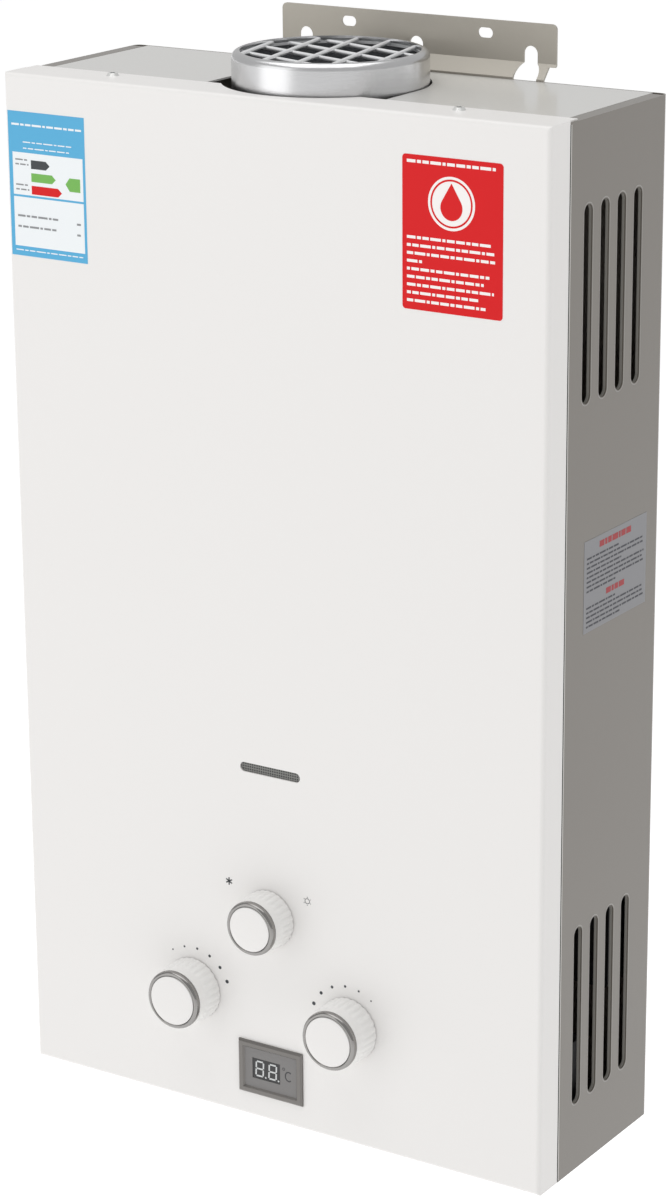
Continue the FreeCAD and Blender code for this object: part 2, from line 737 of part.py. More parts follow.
def rectangle(x, z, half_x, half_z, y):
    points = [
        V(x + sx * half_x, y, z + sz * half_z)
        for sx, sz in ((-1, -1), (1, -1), (1, 1), (-1, 1), (-1, -1))
    ]
    return Part.makePolygon(points)


def knob(x, z, radius, base_radius, height, shaft_end):
    """Ribbed body, bright ring, front disc and shaft of one knob."""
    rear = FRONT_Y - KNOB_GAP
    front = FRONT_Y - height
    ring_rear = front + RING_DEPTH
    ribs_front = FRONT_Y - height * RIBBED_SHARE
    ring_seat = radius - RING_WIDTH
    smooth = rod(radius, V(x, ribs_front, z), V(x, ring_rear, z))
    bore_end = ring_rear + SPINDLE_COVER
    bore = spindle_shape(x, z, SPINDLE_RADIUS + SPINDLE_CLEARANCE, bore_end, rear + 1)
    body = cut(join(smooth, ribbed_band(x, z, base_radius, ribs_front, rear)), bore)
    bright = ring(radius, ring_seat, V(x, front + RING_LIP, z), V(x, ring_rear, z))
    cap = rod(ring_seat - RING_FIT, V(x, ring_rear, z), V(x, front, z))
    shaft = spindle_shape(x, z, SPINDLE_RADIUS, bore_end + SPINDLE_END_GAP, rear + 1)
    shaft = join(shaft, rod(SPINDLE_RADIUS, V(x, rear + 1, z), V(x, shaft_end, z)))
    return body, bright, cap, shaft


def ribbed_band(x, z, radius, y0, y1):
    """The rear band, with upright ribs all round for the fingers."""
    points = []
    root = radius - RIB_DEPTH
    one_rib = ((0.0, radius), (RIB_CREST_END, radius), (RIB_ROOT_START, root), (RIB_ROOT_END, root))
    step = 2 * math.pi / KNOB_RIBS
    for k in range(KNOB_RIBS):
        for share, r in one_rib:
            angle = (k + share) * step
            points.append(V(x + r * math.cos(angle), y0, z + r * math.sin(angle)))
    return prism(points, V(0, y1 - y0, 0))


def spindle_shape(x, z, radius, y0, y1):
    """A round bar along Y with one flat."""
    flat = box(x - 10, x + 10, y0 - 1, y1 + 1, z + radius - SPINDLE_FLAT, z + 10)
    return rod(radius, V(x, y0, z), V(x, y1, z)).cut(flat)


def flue_collar():
    """A short tube whose top edge is rolled inwards."""
    outer = COLLAR_RADIUS
    inner = outer - COLLAR_WALL
    roll = COLLAR_RIM_RADIUS
    half = roll / 2
    t = COLLAR_WALL
    top = COLLAR_TOP
    mouth = outer - roll - COLLAR_LIP
    outline = [
        (outer, COLLAR_BOTTOM), (outer, top - roll), (outer - 0.3 * half, top - half),
        (outer - half, top - 0.3 * half), (outer - roll, top), (mouth, top), (mouth, top - t),
        (outer - roll, top - t), (inner, top - roll), (inner, COLLAR_BOTTOM),
    ]
    points = [V(r, 0, z) for r, z in outline]
    face = Part.Face(Part.makePolygon(points + points[:1]))
    collar = face.revolve(V(0, 0, 0), Z_AXIS, 360)
    collar.translate(V(FLUE_X, FLUE_Y, 0))
    return collar


def flue_grille():
    outer = COLLAR_RADIUS - COLLAR_WALL - 0.1
    inner = outer - GRILLE_RING
    top = COLLAR_TOP - COLLAR_RIM_RADIUS
    low = top - GRILLE_THICKNESS
    centre = V(FLUE_X, FLUE_Y, 0)
    bars = []
    for angle, offset in zip(GRILLE_ANGLES, GRILLE_OFFSETS):
        count = int(outer // GRILLE_PITCH) + 1
        for k in range(-count, count + 1):
            distance = k * GRILLE_PITCH + offset
            if abs(distance) > inner - 1.5:
                continue
            half = math.sqrt(outer * outer - distance * distance) - GRILLE_RING / 2
            bar = box(-half, half, distance - GRILLE_BAR / 2, distance + GRILLE_BAR / 2, low, top)
            bar.rotate(V(0, 0, 0), Z_AXIS, angle)
            bars.append(bar)
    frame = ring(outer, inner, V(0, 0, low), V(0, 0, top))
    grille = join(frame, *bars).common(rod(outer, V(0, 0, low), V(0, 0, top)))
    grille.translate(centre)
    return grille


def hood_form(shrink):
    """The hood's outside, or its inside when shrunk by the sheet."""
    centre_y = (EXCHANGER_FRONT_Y + EXCHANGER_BACK_Y) / 2
    half_x = EXCHANGER_WIDTH / 2 - shrink
    half_y = (EXCHANGER_BACK_Y - EXCHANGER_FRONT_Y) / 2 - shrink
    skirt_top = FINS_TOP + HOOD_SKIRT
    neck_bottom = COLLAR_BOTTOM - HOOD_NECK_GAP - shrink
    neck = COLLAR_RADIUS - COLLAR_WALL - NECK_CLEARANCE - shrink
    axis = V(FLUE_X, FLUE_Y, 0)
    overrun = 1 if shrink else 0
    left, right = EXCHANGER_X - half_x, EXCHANGER_X + half_x
    front, rear = centre_y - half_y, centre_y + half_y
    skirt = box(left, right, front, rear, FINS_TOP - overrun, skirt_top)
    throat = neck + HOOD_SHOULDER
    outline = [
        V(left, front, skirt_top), V(right, front, skirt_top),
        V(FLUE_X + throat, front, neck_bottom), V(FLUE_X - throat, front, neck_bottom),
    ]
    slope = prism(outline, V(0, rear - front, 0))
    top = axis + V(0, 0, COLLAR_BOTTOM + HOOD_OVERLAP + overrun)
    pipe = rod(neck, axis + V(0, 0, neck_bottom - SHEET), top)
    return skirt, slope, pipe.common(box(left, right, front - 20, rear + 20, 0, top.z))


def fume_hood():
    return cut(join(*hood_form(0)), *hood_form(SHEET))


def exchanger_jacket():
    half = EXCHANGER_WIDTH / 2
    x0, x1 = EXCHANGER_X - half, EXCHANGER_X + half
    tube = box(x0, x1, EXCHANGER_FRONT_Y, EXCHANGER_BACK_Y, JACKET_BOTTOM, FINS_BOTTOM)
    tube = tube.makeChamfer(JACKET_CORNER, [e for e in tube.Edges if is_upright(e)])
    inside = box(
        x0 + SHEET, x1 - SHEET, EXCHANGER_FRONT_Y + SHEET, EXCHANGER_BACK_Y - SHEET,
        JACKET_BOTTOM - 1, FINS_BOTTOM + 1,
    )
    inside = inside.makeChamfer(JACKET_CORNER - SHEET, [e for e in inside.Edges if is_upright(e)])
    ears = []
    top = FINS_BOTTOM - JACKET_BRACKET_DROP
    thick = JACKET_BRACKET_SHEET
    for x in (x0 + JACKET_BRACKET_INSET, x1 - JACKET_BRACKET_INSET - BRACKET_WIDTH):
        ears.append(box(x, x + BRACKET_WIDTH, EXCHANGER_BACK_Y, INNER_BACK_Y, top - thick, top))
        ears.append(box(
            x, x + BRACKET_WIDTH, INNER_BACK_Y - thick, INNER_BACK_Y, top - JACKET_BRACKET_LEG, top,
        ))
    return join(tube.cut(inside), *ears)


def pass_ys():
    middle = (EXCHANGER_FRONT_Y + EXCHANGER_BACK_Y) / 2
    first = middle + PASS_PITCH * (PASS_COUNT - 1) / 2
    return [first - k * PASS_PITCH for k in range(PASS_COUNT)]


def exchanger_fins():
    half = EXCHANGER_WIDTH / 2
    hole = TUBE_RADIUS + TUBE_GAP / 2
    solids = []
    step = (EXCHANGER_WIDTH - 4 * SHEET) / (FIN_COUNT + 1)
    places = [EXCHANGER_X - half, EXCHANGER_X + half - 2 * SHEET]
    places += [EXCHANGER_X - half + 2 * SHEET + step * (k + 1) for k in range(FIN_COUNT)]
    for k, x in enumerate(places):
        thick = 2 * SHEET if k < 2 else FIN_THICKNESS
        plate = box(x, x + thick, EXCHANGER_FRONT_Y, EXCHANGER_BACK_Y, FINS_BOTTOM, FINS_TOP)
        holes = []
        for y in pass_ys():
            flat = hexagon(2 * hole, V(0, 0, -1), thick + 2)
            flat.rotate(V(0, 0, 0), Y_AXIS, 90)
            flat.translate(V(x, y, TUBE_Z))
            holes.append(flat)
        solids.append(cut(plate, *holes))
    rails = []
    for y in (EXCHANGER_FRONT_Y, EXCHANGER_BACK_Y - SHEET):
        rails.append(box(
            EXCHANGER_X - half, EXCHANGER_X + half, y, y + SHEET, FINS_BOTTOM, FINS_TOP,
        ))
    return join(solids[0], *solids[1:], *rails)


def exchanger_coil():
    """The water tube: once round the jacket, then back and forth through the fins."""
    half = EXCHANGER_WIDTH / 2
    reach = TUBE_RADIUS + TUBE_GAP
    right = EXCHANGER_X + half + reach
    left = EXCHANGER_X - half - reach
    front = EXCHANGER_FRONT_Y - reach
    back = EXCHANGER_BACK_Y + reach
    ys = pass_ys()
    z = COIL_START_Z + COIL_RISE
    points = [V(right, PIPE_Y, COIL_START_Z), V(right, PIPE_Y, z), V(right, front, z)]
    points += [V(left, front, z + COIL_RISE), V(left, back, z + COIL_RISE)]
    points += [V(right + COIL_SWING, back, z + 2 * COIL_RISE), V(right + COIL_SWING, ys[0], TUBE_Z)]
    side = -1
    for k in range(PASS_COUNT - 1):
        x = (left if side < 0 else right) + side * COIL_SWING
        points += [V(x, ys[k], TUBE_Z), V(x, ys[k + 1], TUBE_Z)]
        side = -side
    points += [V(hot_pipe_x(), ys[-1], TUBE_Z), V(hot_pipe_x(), ys[-1], TUBE_Z - HOT_DROP)]
    return bent_tube(points, TUBE_RADIUS, TUBE_WALL)


def hot_pipe_x():
    return EXCHANGER_X - EXCHANGER_WIDTH / 2 - 3 * TUBE_RADIUS - 2.0


def burner_frame():
    half = BURNER_WIDTH / 2
    x0, x1 = EXCHANGER_X - half, EXCHANGER_X + half
    y0, y1 = EXCHANGER_FRONT_Y, EXCHANGER_BACK_Y
    wall = BURNER_SHEET
    low, high = BURNER_BOTTOM, BURNER_TOP
    tube = box(x0, x1, y0, y1, low, high)
    inside = box(x0 + wall, x1 - wall, y0 + wall, y1 - wall, low - 1, high + 1)
    rails = [
        box(x0, x1, y0, y0 + BURNER_RAIL, low, low + wall),
        box(x0, x1, y1 - BURNER_RAIL, y1, low, low + wall),
    ]
    ears = []
    for x in (x0 + BRACKET_WIDTH, x1 - 2 * BRACKET_WIDTH):
        ears.append(box(x, x + BRACKET_WIDTH, y1, INNER_BACK_Y, low, low + wall))
        ears.append(box(
            x, x + BRACKET_WIDTH, INNER_BACK_Y - wall, INNER_BACK_Y, low, low + BRACKET_HEIGHT,
        ))
    tabs = []
    holes = []
    half_slot = AIR_SLOT_HEIGHT / 2
    for x in electrode_xs():
        tabs.append(box(
            x - ELECTRODE_TAB / 2, x + ELECTRODE_TAB / 2, y0 - BURNER_RAIL, y0,
            electrode_seat() - wall, electrode_seat(),
        ))
        y = y0 - ELECTRODE_LEAD
        holes.append(eight_sided(ELECTRODE_HOLE, V(x, y, high - 20), V(x, y, high)))
    opening = box(
        x0 + AIR_SLOT_INSET, x1 - AIR_SLOT_INSET, y0 - 1, y0 + wall + 0.1,
        MANIFOLD_Z - half_slot, MANIFOLD_Z + half_slot,
    )
    return cut(join(tube.cut(inside), *rails, *ears, *tabs), opening, *holes)


def electrode_xs():
    return (EXCHANGER_X + ELECTRODE_X, EXCHANGER_X - ELECTRODE_X)


def electrode_seat():
    return BURNER_TOP - 14.5


def electrode(x):
    """A wire held in a ceramic sleeve with a collar."""
    y = EXCHANGER_FRONT_Y - ELECTRODE_LEAD
    at = lambda value: V(x, y, electrode_seat() + value)
    return join(
        eight_sided(ELECTRODE_SLEEVE, at(-9), at(14)),
        eight_sided(ELECTRODE_COLLAR, at(0), at(3)),
        eight_sided(ELECTRODE_WIRE, at(14), at(26)),
    )


def burner_xs():
    return [EXCHANGER_X + BURNER_PITCH * (k - (BURNER_COUNT - 1) / 2) for k in range(BURNER_COUNT)]


def burner_bars():
    """Flat burners with a narrow waist and a slot along the top."""
    y0 = EXCHANGER_FRONT_Y + BURNER_FRONT_GAP
    y1 = EXCHANGER_BACK_Y - BURNER_REAR_GAP
    z0 = BURNER_BOTTOM + BURNER_SHEET
    z1 = BURNER_TOP - BURNER_TOP_GAP
    outline = [
        (BURNER_HALF_WIDTH, 0.0), (BURNER_HALF_WIDTH, 0.45), (BURNER_WAIST, 0.55), (BURNER_WAIST, 0.8),
        (BURNER_HEAD, 0.86), (BURNER_HEAD, 1.0),
    ]
    solids = []
    for x in burner_xs():
        right = [V(x + w, y0, z0 + h * (z1 - z0)) for w, h in outline]
        left = [V(x - w, y0, z0 + h * (z1 - z0)) for w, h in reversed(outline)]
        bar = prism(right + left, V(0, y1 - y0, 0))
        slot = box(
            x - BURNER_PORT_HALF, x + BURNER_PORT_HALF, y0 + BURNER_PORT_END, y1 - BURNER_PORT_END,
            z1 - BURNER_PORT_DEPTH, z1 + 1,
        )
        solids.append(bar.cut(slot))
    return Part.makeCompound(solids)


def manifold_rear():
    return EXCHANGER_FRONT_Y - MANIFOLD_GAP


def gas_manifold():
    half = BURNER_PITCH * (BURNER_COUNT - 1) / 2 + MANIFOLD_OVERHANG
    y1 = manifold_rear()
    s = MANIFOLD_SIZE / 2
    bar = box(
        EXCHANGER_X - half, EXCHANGER_X + half, y1 - 2 * s, y1, MANIFOLD_Z - s, MANIFOLD_Z + s,
    )
    long_edges = [e for e in bar.Edges if abs(e.tangentAt(0).x) > 0.99]
    bar = bar.makeChamfer(MANIFOLD_CHAMFER, long_edges)
    low = MANIFOLD_Z - s - MANIFOLD_EAR_DROP
    high = MANIFOLD_Z - s + MANIFOLD_EAR_OVERLAP
    ears = [
        box(x, x + MANIFOLD_EAR_WIDTH, y1 - MANIFOLD_EAR_OVERLAP, EXCHANGER_FRONT_Y, low, high)
        for x in (EXCHANGER_X - half, EXCHANGER_X + half - MANIFOLD_EAR_WIDTH)
    ]
    return join(bar, *ears)


def gas_nozzles():
    y1 = manifold_rear()
    return Part.makeCompound([
        eight_sided(2 * NOZZLE_RADIUS, V(x, y1, MANIFOLD_Z), V(x, y1 + NOZZLE_LENGTH, MANIFOLD_Z))
        for x in burner_xs()
    ])


def boss(x, z, rear):
    """The round neck that carries a knob's shaft."""
    return eight_sided(2 * BOSS_RADIUS, V(x, BOSS_FRONT_Y, z), V(x, rear, z))


def shaft_bore(x, z, end):
    return rod(SPINDLE_RADIUS + SPINDLE_CLEARANCE, V(x, BOSS_FRONT_Y - 1, z), V(x, end, z))


def gas_valve_body():
    block = box(GAS_LEFT, GAS_RIGHT, VALVE_FRONT_Y, VALVE_BACK_Y, GAS_BOTTOM, GAS_TOP)
    block = block.makeChamfer(GAS_BODY_CHAMFER, [e for e in block.Edges if abs(e.tangentAt(0).x) > 0.99])
    at = lambda value: V(value, VALVE_Y, KNOB_Z)
    seat_left = SEAT_X - SEAT_THICKNESS
    chamber = eight_sided(CHAMBER_SIZE, at(SEAT_X - CHAMBER_LENGTH), at(seat_left))
    seat = eight_sided(SEAT_BORE, at(seat_left - 1), at(SEAT_X + 1))
    outlet = eight_sided(CHAMBER_SIZE, at(SEAT_X), at(GAS_RIGHT + 1))
    return cut(
        join(block, boss(GAS_X, KNOB_Z, VALVE_FRONT_Y)),
        chamber, seat, outlet, shaft_bore(GAS_X, KNOB_Z, VALVE_FRONT_Y + SPINDLE_SEAT),
    )


def gas_valve_cap():
    """Closes the gas chamber, guides the rod and carries the diaphragm housing."""
    cover_x = diaphragm_cover_x()
    flange = box(
        GAS_RIGHT, GAS_RIGHT + CAP_THICKNESS, VALVE_Y - CAP_HALF_DEPTH, VALVE_Y + CAP_HALF_DEPTH,
        KNOB_Z - CAP_HALF_HEIGHT, KNOB_Z + CAP_HALF_HEIGHT,
    )
    arms = []
    for side in (-1, 1):
        y = VALVE_Y + side * ARM_OFFSET
        arms.append(box(
            GAS_RIGHT, cover_x, y - ARM_HALF_DEPTH, y + ARM_HALF_DEPTH,
            KNOB_Z - ARM_HALF_HEIGHT, KNOB_Z + ARM_HALF_HEIGHT,
        ))
    at = lambda value: V(value, VALVE_Y, KNOB_Z)
    hole = rod(ROD_RADIUS + ROD_CLEARANCE, at(GAS_RIGHT - 1), at(GAS_RIGHT + CAP_THICKNESS + 1))
    return cut(join(flange, *arms), hole)


def gas_seat_spring():
    start = V(SEAT_X - CHAMBER_LENGTH, VALVE_Y, KNOB_Z)
    stack = SEAT_THICKNESS + SEAT_GAP + VALVE_DISC_THICKNESS + SPRING_END_GAP + ROD_TRAVEL
    end = V(SEAT_X - stack, VALVE_Y, KNOB_Z)
    bore = eight_sided(SPRING_BORE, start - X_AXIS, end + X_AXIS)
    return eight_sided(SPRING_SIZE, start, end).cut(bore)


def diaphragm_cover_x():
    return DIAPHRAGM_X - DIAPHRAGM_COVER_DEPTH


def diaphragm_cover():
    x = diaphragm_cover_x()
    at = lambda value: V(value, VALVE_Y, KNOB_Z)
    dish = eight_sided(2 * DIAPHRAGM_RADIUS, at(x), at(DIAPHRAGM_X))
    room = eight_sided(2 * DIAPHRAGM_ROOM, at(x + DIAPHRAGM_COVER_WALL), at(DIAPHRAGM_X + 1))
    hole = rod(ROD_RADIUS + ROD_CLEARANCE, at(x - 1), at(DIAPHRAGM_X))
    return cut(dish, room, hole)


def diaphragm():
    start = V(DIAPHRAGM_X, VALVE_Y, KNOB_Z)
    end = V(DIAPHRAGM_X + DIAPHRAGM_THICKNESS, VALVE_Y, KNOB_Z)
    hole = eight_sided(2 * (DIAPHRAGM_PLATE_RADIUS + DIAPHRAGM_PLATE_GAP), start - X_AXIS, end + X_AXIS)
    return eight_sided(2 * DIAPHRAGM_RADIUS, start, end).cut(hole)


def water_valve_body():
    at = lambda value: V(value, VALVE_Y, KNOB_Z)
    left = DIAPHRAGM_X + DIAPHRAGM_THICKNESS
    dish = eight_sided(2 * DIAPHRAGM_RADIUS, at(left), at(WATER_LEFT))
    room = eight_sided(2 * DIAPHRAGM_ROOM, at(left - 1), at(WATER_LEFT - WATER_DISH_WALL))
    inset = WATER_BODY_INSET
    block = box(
        WATER_LEFT, WATER_RIGHT, VALVE_FRONT_Y + inset, VALVE_BACK_Y - inset,
        GAS_BOTTOM + inset, GAS_TOP - inset,
    )
    block = block.makeChamfer(WATER_BODY_CHAMFER, [e for e in block.Edges if abs(e.tangentAt(0).x) > 0.99])
    return cut(
        join(block, dish, boss(WATER_X, KNOB_Z, VALVE_FRONT_Y + inset)),
        room, shaft_bore(WATER_X, KNOB_Z, VALVE_FRONT_Y + SPINDLE_SEAT),
    )


def season_valve_body():
    half_x, half_z, half_foot = SEASON_HALF_WIDTH, SEASON_HALF_HEIGHT, SEASON_FOOT_THICKNESS / 2
    block = box(
        PANEL_X - half_x, PANEL_X + half_x, VALVE_FRONT_Y, SEASON_BACK_Y,
        SEASON_Z - half_z, SEASON_Z + half_z,
    )
    foot = box(
        PANEL_X - SEASON_FOOT_HALF, PANEL_X + SEASON_FOOT_HALF, SEASON_BACK_Y, INNER_BACK_Y,
        SEASON_Z - half_foot, SEASON_Z + half_foot,
    )
    return cut(
        join(block, foot, boss(PANEL_X, SEASON_Z, VALVE_FRONT_Y)),
        shaft_bore(PANEL_X, SEASON_Z, VALVE_FRONT_Y + SPINDLE_SEAT),
    )


def push_rod():
    at = lambda value: V(value, VALVE_Y, KNOB_Z)
    disc_right = SEAT_X - SEAT_THICKNESS - SEAT_GAP
    disc_left = disc_right - VALVE_DISC_THICKNESS
    plate_left = DIAPHRAGM_X - DIAPHRAGM_PLATE_LEAD
    plate_right = plate_left + ROD_DISC_THICKNESS
    stem = rod(ROD_RADIUS, at(disc_left), at(plate_right))
    disc = eight_sided(VALVE_DISC_SIZE, at(disc_left), at(disc_right))
    plate = eight_sided(2 * DIAPHRAGM_PLATE_RADIUS, at(plate_left), at(plate_right))
    collar = eight_sided(ROD_COLLAR_SIZE, at(ROD_COLLAR_X), at(ROD_COLLAR_X + ROD_DISC_THICKNESS))
    return join(stem, disc, plate, collar)


def microswitch():
    reach = LEVER_PIN_REACH
    case = box(SWITCH_LEFT, SWITCH_RIGHT, VALVE_Y - reach, VALVE_Y + reach, GAS_TOP, GAS_TOP + SWITCH_HEIGHT)
    cheeks = [
        box(SWITCH_RIGHT, CHEEK_RIGHT, y, y + CHEEK_THICKNESS, GAS_TOP, GAS_TOP + CHEEK_HEIGHT)
        for y in (VALVE_Y - reach, VALVE_Y + reach - CHEEK_THICKNESS)
    ]
    return cut(join(case, *cheeks), lever_pin(LEVER_PIN_RADIUS + SPINDLE_CLEARANCE, reach + 1))


def lever_pin(radius, reach):
    x = LEVER_X + LEVER_SHEET / 2
    return rod(radius, V(x, VALVE_Y - reach, LEVER_PIVOT_Z), V(x, VALVE_Y + reach, LEVER_PIVOT_Z))


def switch_lever():
    strip = box(
        LEVER_X, LEVER_X + LEVER_SHEET, VALVE_Y - LEVER_HALF_WIDTH, VALVE_Y + LEVER_HALF_WIDTH,
        KNOB_Z + LEVER_FOOT_GAP, LEVER_PIVOT_Z + LEVER_TOP,
    )
    return join(strip, lever_pin(LEVER_PIN_RADIUS, LEVER_PIN_REACH))


def solenoid():
    at = lambda value: V(value, VALVE_Y, KNOB_Z)
    coil = eight_sided(COIL_SIZE, at(GAS_LEFT - COIL_LENGTH), at(GAS_LEFT - COIL_FLANGE))
    return join(coil, eight_sided(COIL_FLANGE_SIZE, at(GAS_LEFT - COIL_FLANGE), at(GAS_LEFT)))


def fitting(x, top):
    """A threaded pipe end with a hexagon and a flange on the plate."""
    low = THREAD_TOP - THREAD_LENGTH
    stem = rod(THREAD_RADIUS, V(x, VALVE_Y, low), V(x, VALVE_Y, top))
    nut = hexagon(HEX_ACROSS_FLATS, V(x, VALVE_Y, SHEET - HEX_HEIGHT - 2), HEX_HEIGHT + 2)
    bore = rod(PIPE_BORE_RADIUS, V(x, VALVE_Y, low - 1), V(x, VALVE_Y, top - PIPE_BORE_ROOF))
    return cut(join(stem, nut), bore)


def lock_nuts():
    solids = []
    for x in (HOT_X, GAS_IN_X, COLD_X):
        nut = hexagon(HEX_ACROSS_FLATS, V(x, VALVE_Y, PLATE_TOP), LOCK_NUT_HEIGHT)
        above = PLATE_TOP + LOCK_NUT_HEIGHT + 5
        solids.append(nut.cut(rod(THREAD_RADIUS + THREAD_FIT, V(x, VALVE_Y, 0), V(x, VALVE_Y, above))))
    return Part.makeCompound(solids)


def cold_pipe():
    half = EXCHANGER_WIDTH / 2
    x = EXCHANGER_X + half + TUBE_RADIUS + TUBE_GAP
    points = [
        V(WATER_RIGHT, PIPE_Y, WATER_OUT_Z), V(x, PIPE_Y, WATER_OUT_Z), V(x, PIPE_Y, COIL_START_Z),
    ]
    tube = bent_tube(points, TUBE_RADIUS, TUBE_WALL)
    low = V(x, PIPE_Y, JACKET_BOTTOM - UNION_HEIGHT - UNION_GAP)
    return tube.fuse(pipe_union(low)).removeSplitter()


def pipe_union(low):
    """The nut round a tube's joint."""
    nut = hexagon(UNION_ACROSS_FLATS, low, UNION_HEIGHT)
    inside = 2 * TUBE_RADIUS - 3 * TUBE_WALL
    return nut.cut(eight_sided(inside, low - Z_AXIS, low + V(0, 0, UNION_HEIGHT + 1)))


def hot_pipe():
    y = pass_ys()[-1]
    x = hot_pipe_x()
    top = TUBE_Z - HOT_DROP
    points = [
        V(x, y, top), V(x, y, HOT_BEND_TOP), V(HOT_X, VALVE_Y, HOT_BEND_LOW), V(HOT_X, VALVE_Y, HOT_TOP),
    ]
    tube = bent_tube(points, TUBE_RADIUS, TUBE_WALL)
    return tube.fuse(pipe_union(V(x, y, top - UNION_HEIGHT))).removeSplitter()


def gas_pipe():
    """From the gas valve to the season valve."""
    x = GAS_RIGHT - GAS_PIPE_INSET
    y = VALVE_Y + GAS_PIPE_SETBACK
    points = [V(x, y, GAS_TOP), V(x, y, SEASON_Z), V(PANEL_X - SEASON_HALF_WIDTH, y, SEASON_Z)]
    return bent_tube(points, GAS_TUBE_RADIUS, TUBE_WALL)


def manifold_pipe():
    """From the season valve to the burner's manifold."""
    y = manifold_rear() - MANIFOLD_SIZE / 2
    x = PANEL_X + 2 * SEASON_HALF_WIDTH
    start = VALVE_Y - MANIFOLD_PIPE_LEAD
    points = [
        V(PANEL_X + SEASON_HALF_WIDTH, start, SEASON_Z), V(x, start, SEASON_Z), V(x, y, SEASON_Z),
        V(x, y, MANIFOLD_Z - MANIFOLD_SIZE / 2),
    ]
    return bent_tube(points, GAS_TUBE_RADIUS, TUBE_WALL)


def igniter_box():
    right = INNER_HALF - IGNITER_SIDE_GAP
    case = box(
        right - IGNITER_WIDTH, right, INNER_BACK_Y - IGNITER_DEPTH, INNER_BACK_Y,
        IGNITER_Z, IGNITER_Z + IGNITER_HEIGHT,
    )
    upright = [e for e in case.Edges if abs(e.tangentAt(0).y) > 0.99]
    return case.makeFillet(IGNITER_CORNER_RADIUS, upright)


def overheat_switch():
    at = lambda depth: V(HEAT_SWITCH_X, EXCHANGER_FRONT_Y - depth, FINS_BOTTOM - HEAT_SWITCH_DROP)
    disc = eight_sided(HEAT_SWITCH_DISC, at(HEAT_SWITCH_STEP), at(0))
    return join(disc, eight_sided(HEAT_SWITCH_HEAD, at(HEAT_SWITCH_DEPTH), at(HEAT_SWITCH_STEP)))


def battery_room():
    """Half sizes of the battery room."""
    return BATTERY_ROOM_X / 2, BATTERY_ROOM_Y / 2


def rim_half():
    """Half the width of the battery box's rim, out to its lugs."""
    return BATTERY_ROOM_X / 2 + BATTERY_WALL + RIM_WIDTH


def door_pin_y():
    return BATTERY_Y + BATTERY_ROOM_Y / 2 + BATTERY_WALL + DOOR_PIN_SETBACK


def battery_box():
    hx, hy = battery_room()
    w = BATTERY_WALL
    x, y = BATTERY_X, BATTERY_Y
    pin_y = door_pin_y()
    body = box(x - hx - w, x + hx + w, y - hy - w, y + hy + w, RIM_Z, BATTERY_ROOF + w)
    rim = box(
        x - rim_half(), x + rim_half(), y - hy - w - RIM_WIDTH, pin_y + LUG_REAR, RIM_Z, SHEET,
    )
    room = box(x - hx, x + hx, y - hy, y + hy, RIM_Z - 1, BATTERY_ROOF)
    lugs = []
    holes = []
    for side in (-1, 1):
        edge = x + side * rim_half()
        low, high = sorted((edge, edge - side * LUG_WIDTH))
        lugs.append(box(low, high, pin_y - LUG_REACH, pin_y + LUG_REAR, DOOR_PIN_Z - LUG_REACH, RIM_Z))
        r = DOOR_PIN_RADIUS + SPINDLE_CLEARANCE
        low, high = sorted((edge + side, edge - side * (LUG_WIDTH + 1)))
        holes.append(rod(r, V(low, pin_y, DOOR_PIN_Z), V(high, pin_y, DOOR_PIN_Z)))
    return cut(join(body, rim, *lugs), room, *holes)


def battery_door():
    x, y = BATTERY_X, BATTERY_Y
    pin_y = door_pin_y()
    half = rim_half() - LUG_WIDTH - DOOR_LUG_GAP
    front = y - BATTERY_ROOM_Y / 2 - BATTERY_WALL - DOOR_FRONT_LIP
    plate = box(x - half, x + half, front, pin_y, DOOR_TOP - DOOR_THICKNESS, DOOR_TOP)
    barrel = rod(DOOR_BARREL_RADIUS, V(x - half, pin_y, DOOR_PIN_Z), V(x + half, pin_y, DOOR_PIN_Z))
    reach = rim_half() - DOOR_PIN_INSET
    pin = rod(DOOR_PIN_RADIUS, V(x - reach, pin_y, DOOR_PIN_Z), V(x + reach, pin_y, DOOR_PIN_Z))
    seats = []
    for side in (-1, 1):
        at = lambda value: V(x + side * CELL_PITCH / 2, y, value)
        seats.append(rod(CELL_SEAT_RADIUS, at(DOOR_TOP - 1), at(cell_bottom() - CELL_CLEARANCE)))
    return join(plate, barrel, pin, *seats)


def cell_bottom():
    return BATTERY_ROOF - CELL_CLEARANCE - CELL_NUB_HEIGHT - CELL_LENGTH


def battery_cells():
    solids = []
    for side in (-1, 1):
        base = V(BATTERY_X + side * CELL_PITCH / 2, BATTERY_Y, cell_bottom())
        top = base + V(0, 0, CELL_LENGTH)
        can = rod(CELL_RADIUS, base, top)
        solids.append(join(can, rod(CELL_NUB_RADIUS, top, top + V(0, 0, CELL_NUB_HEIGHT))))
    return Part.makeCompound(solids)


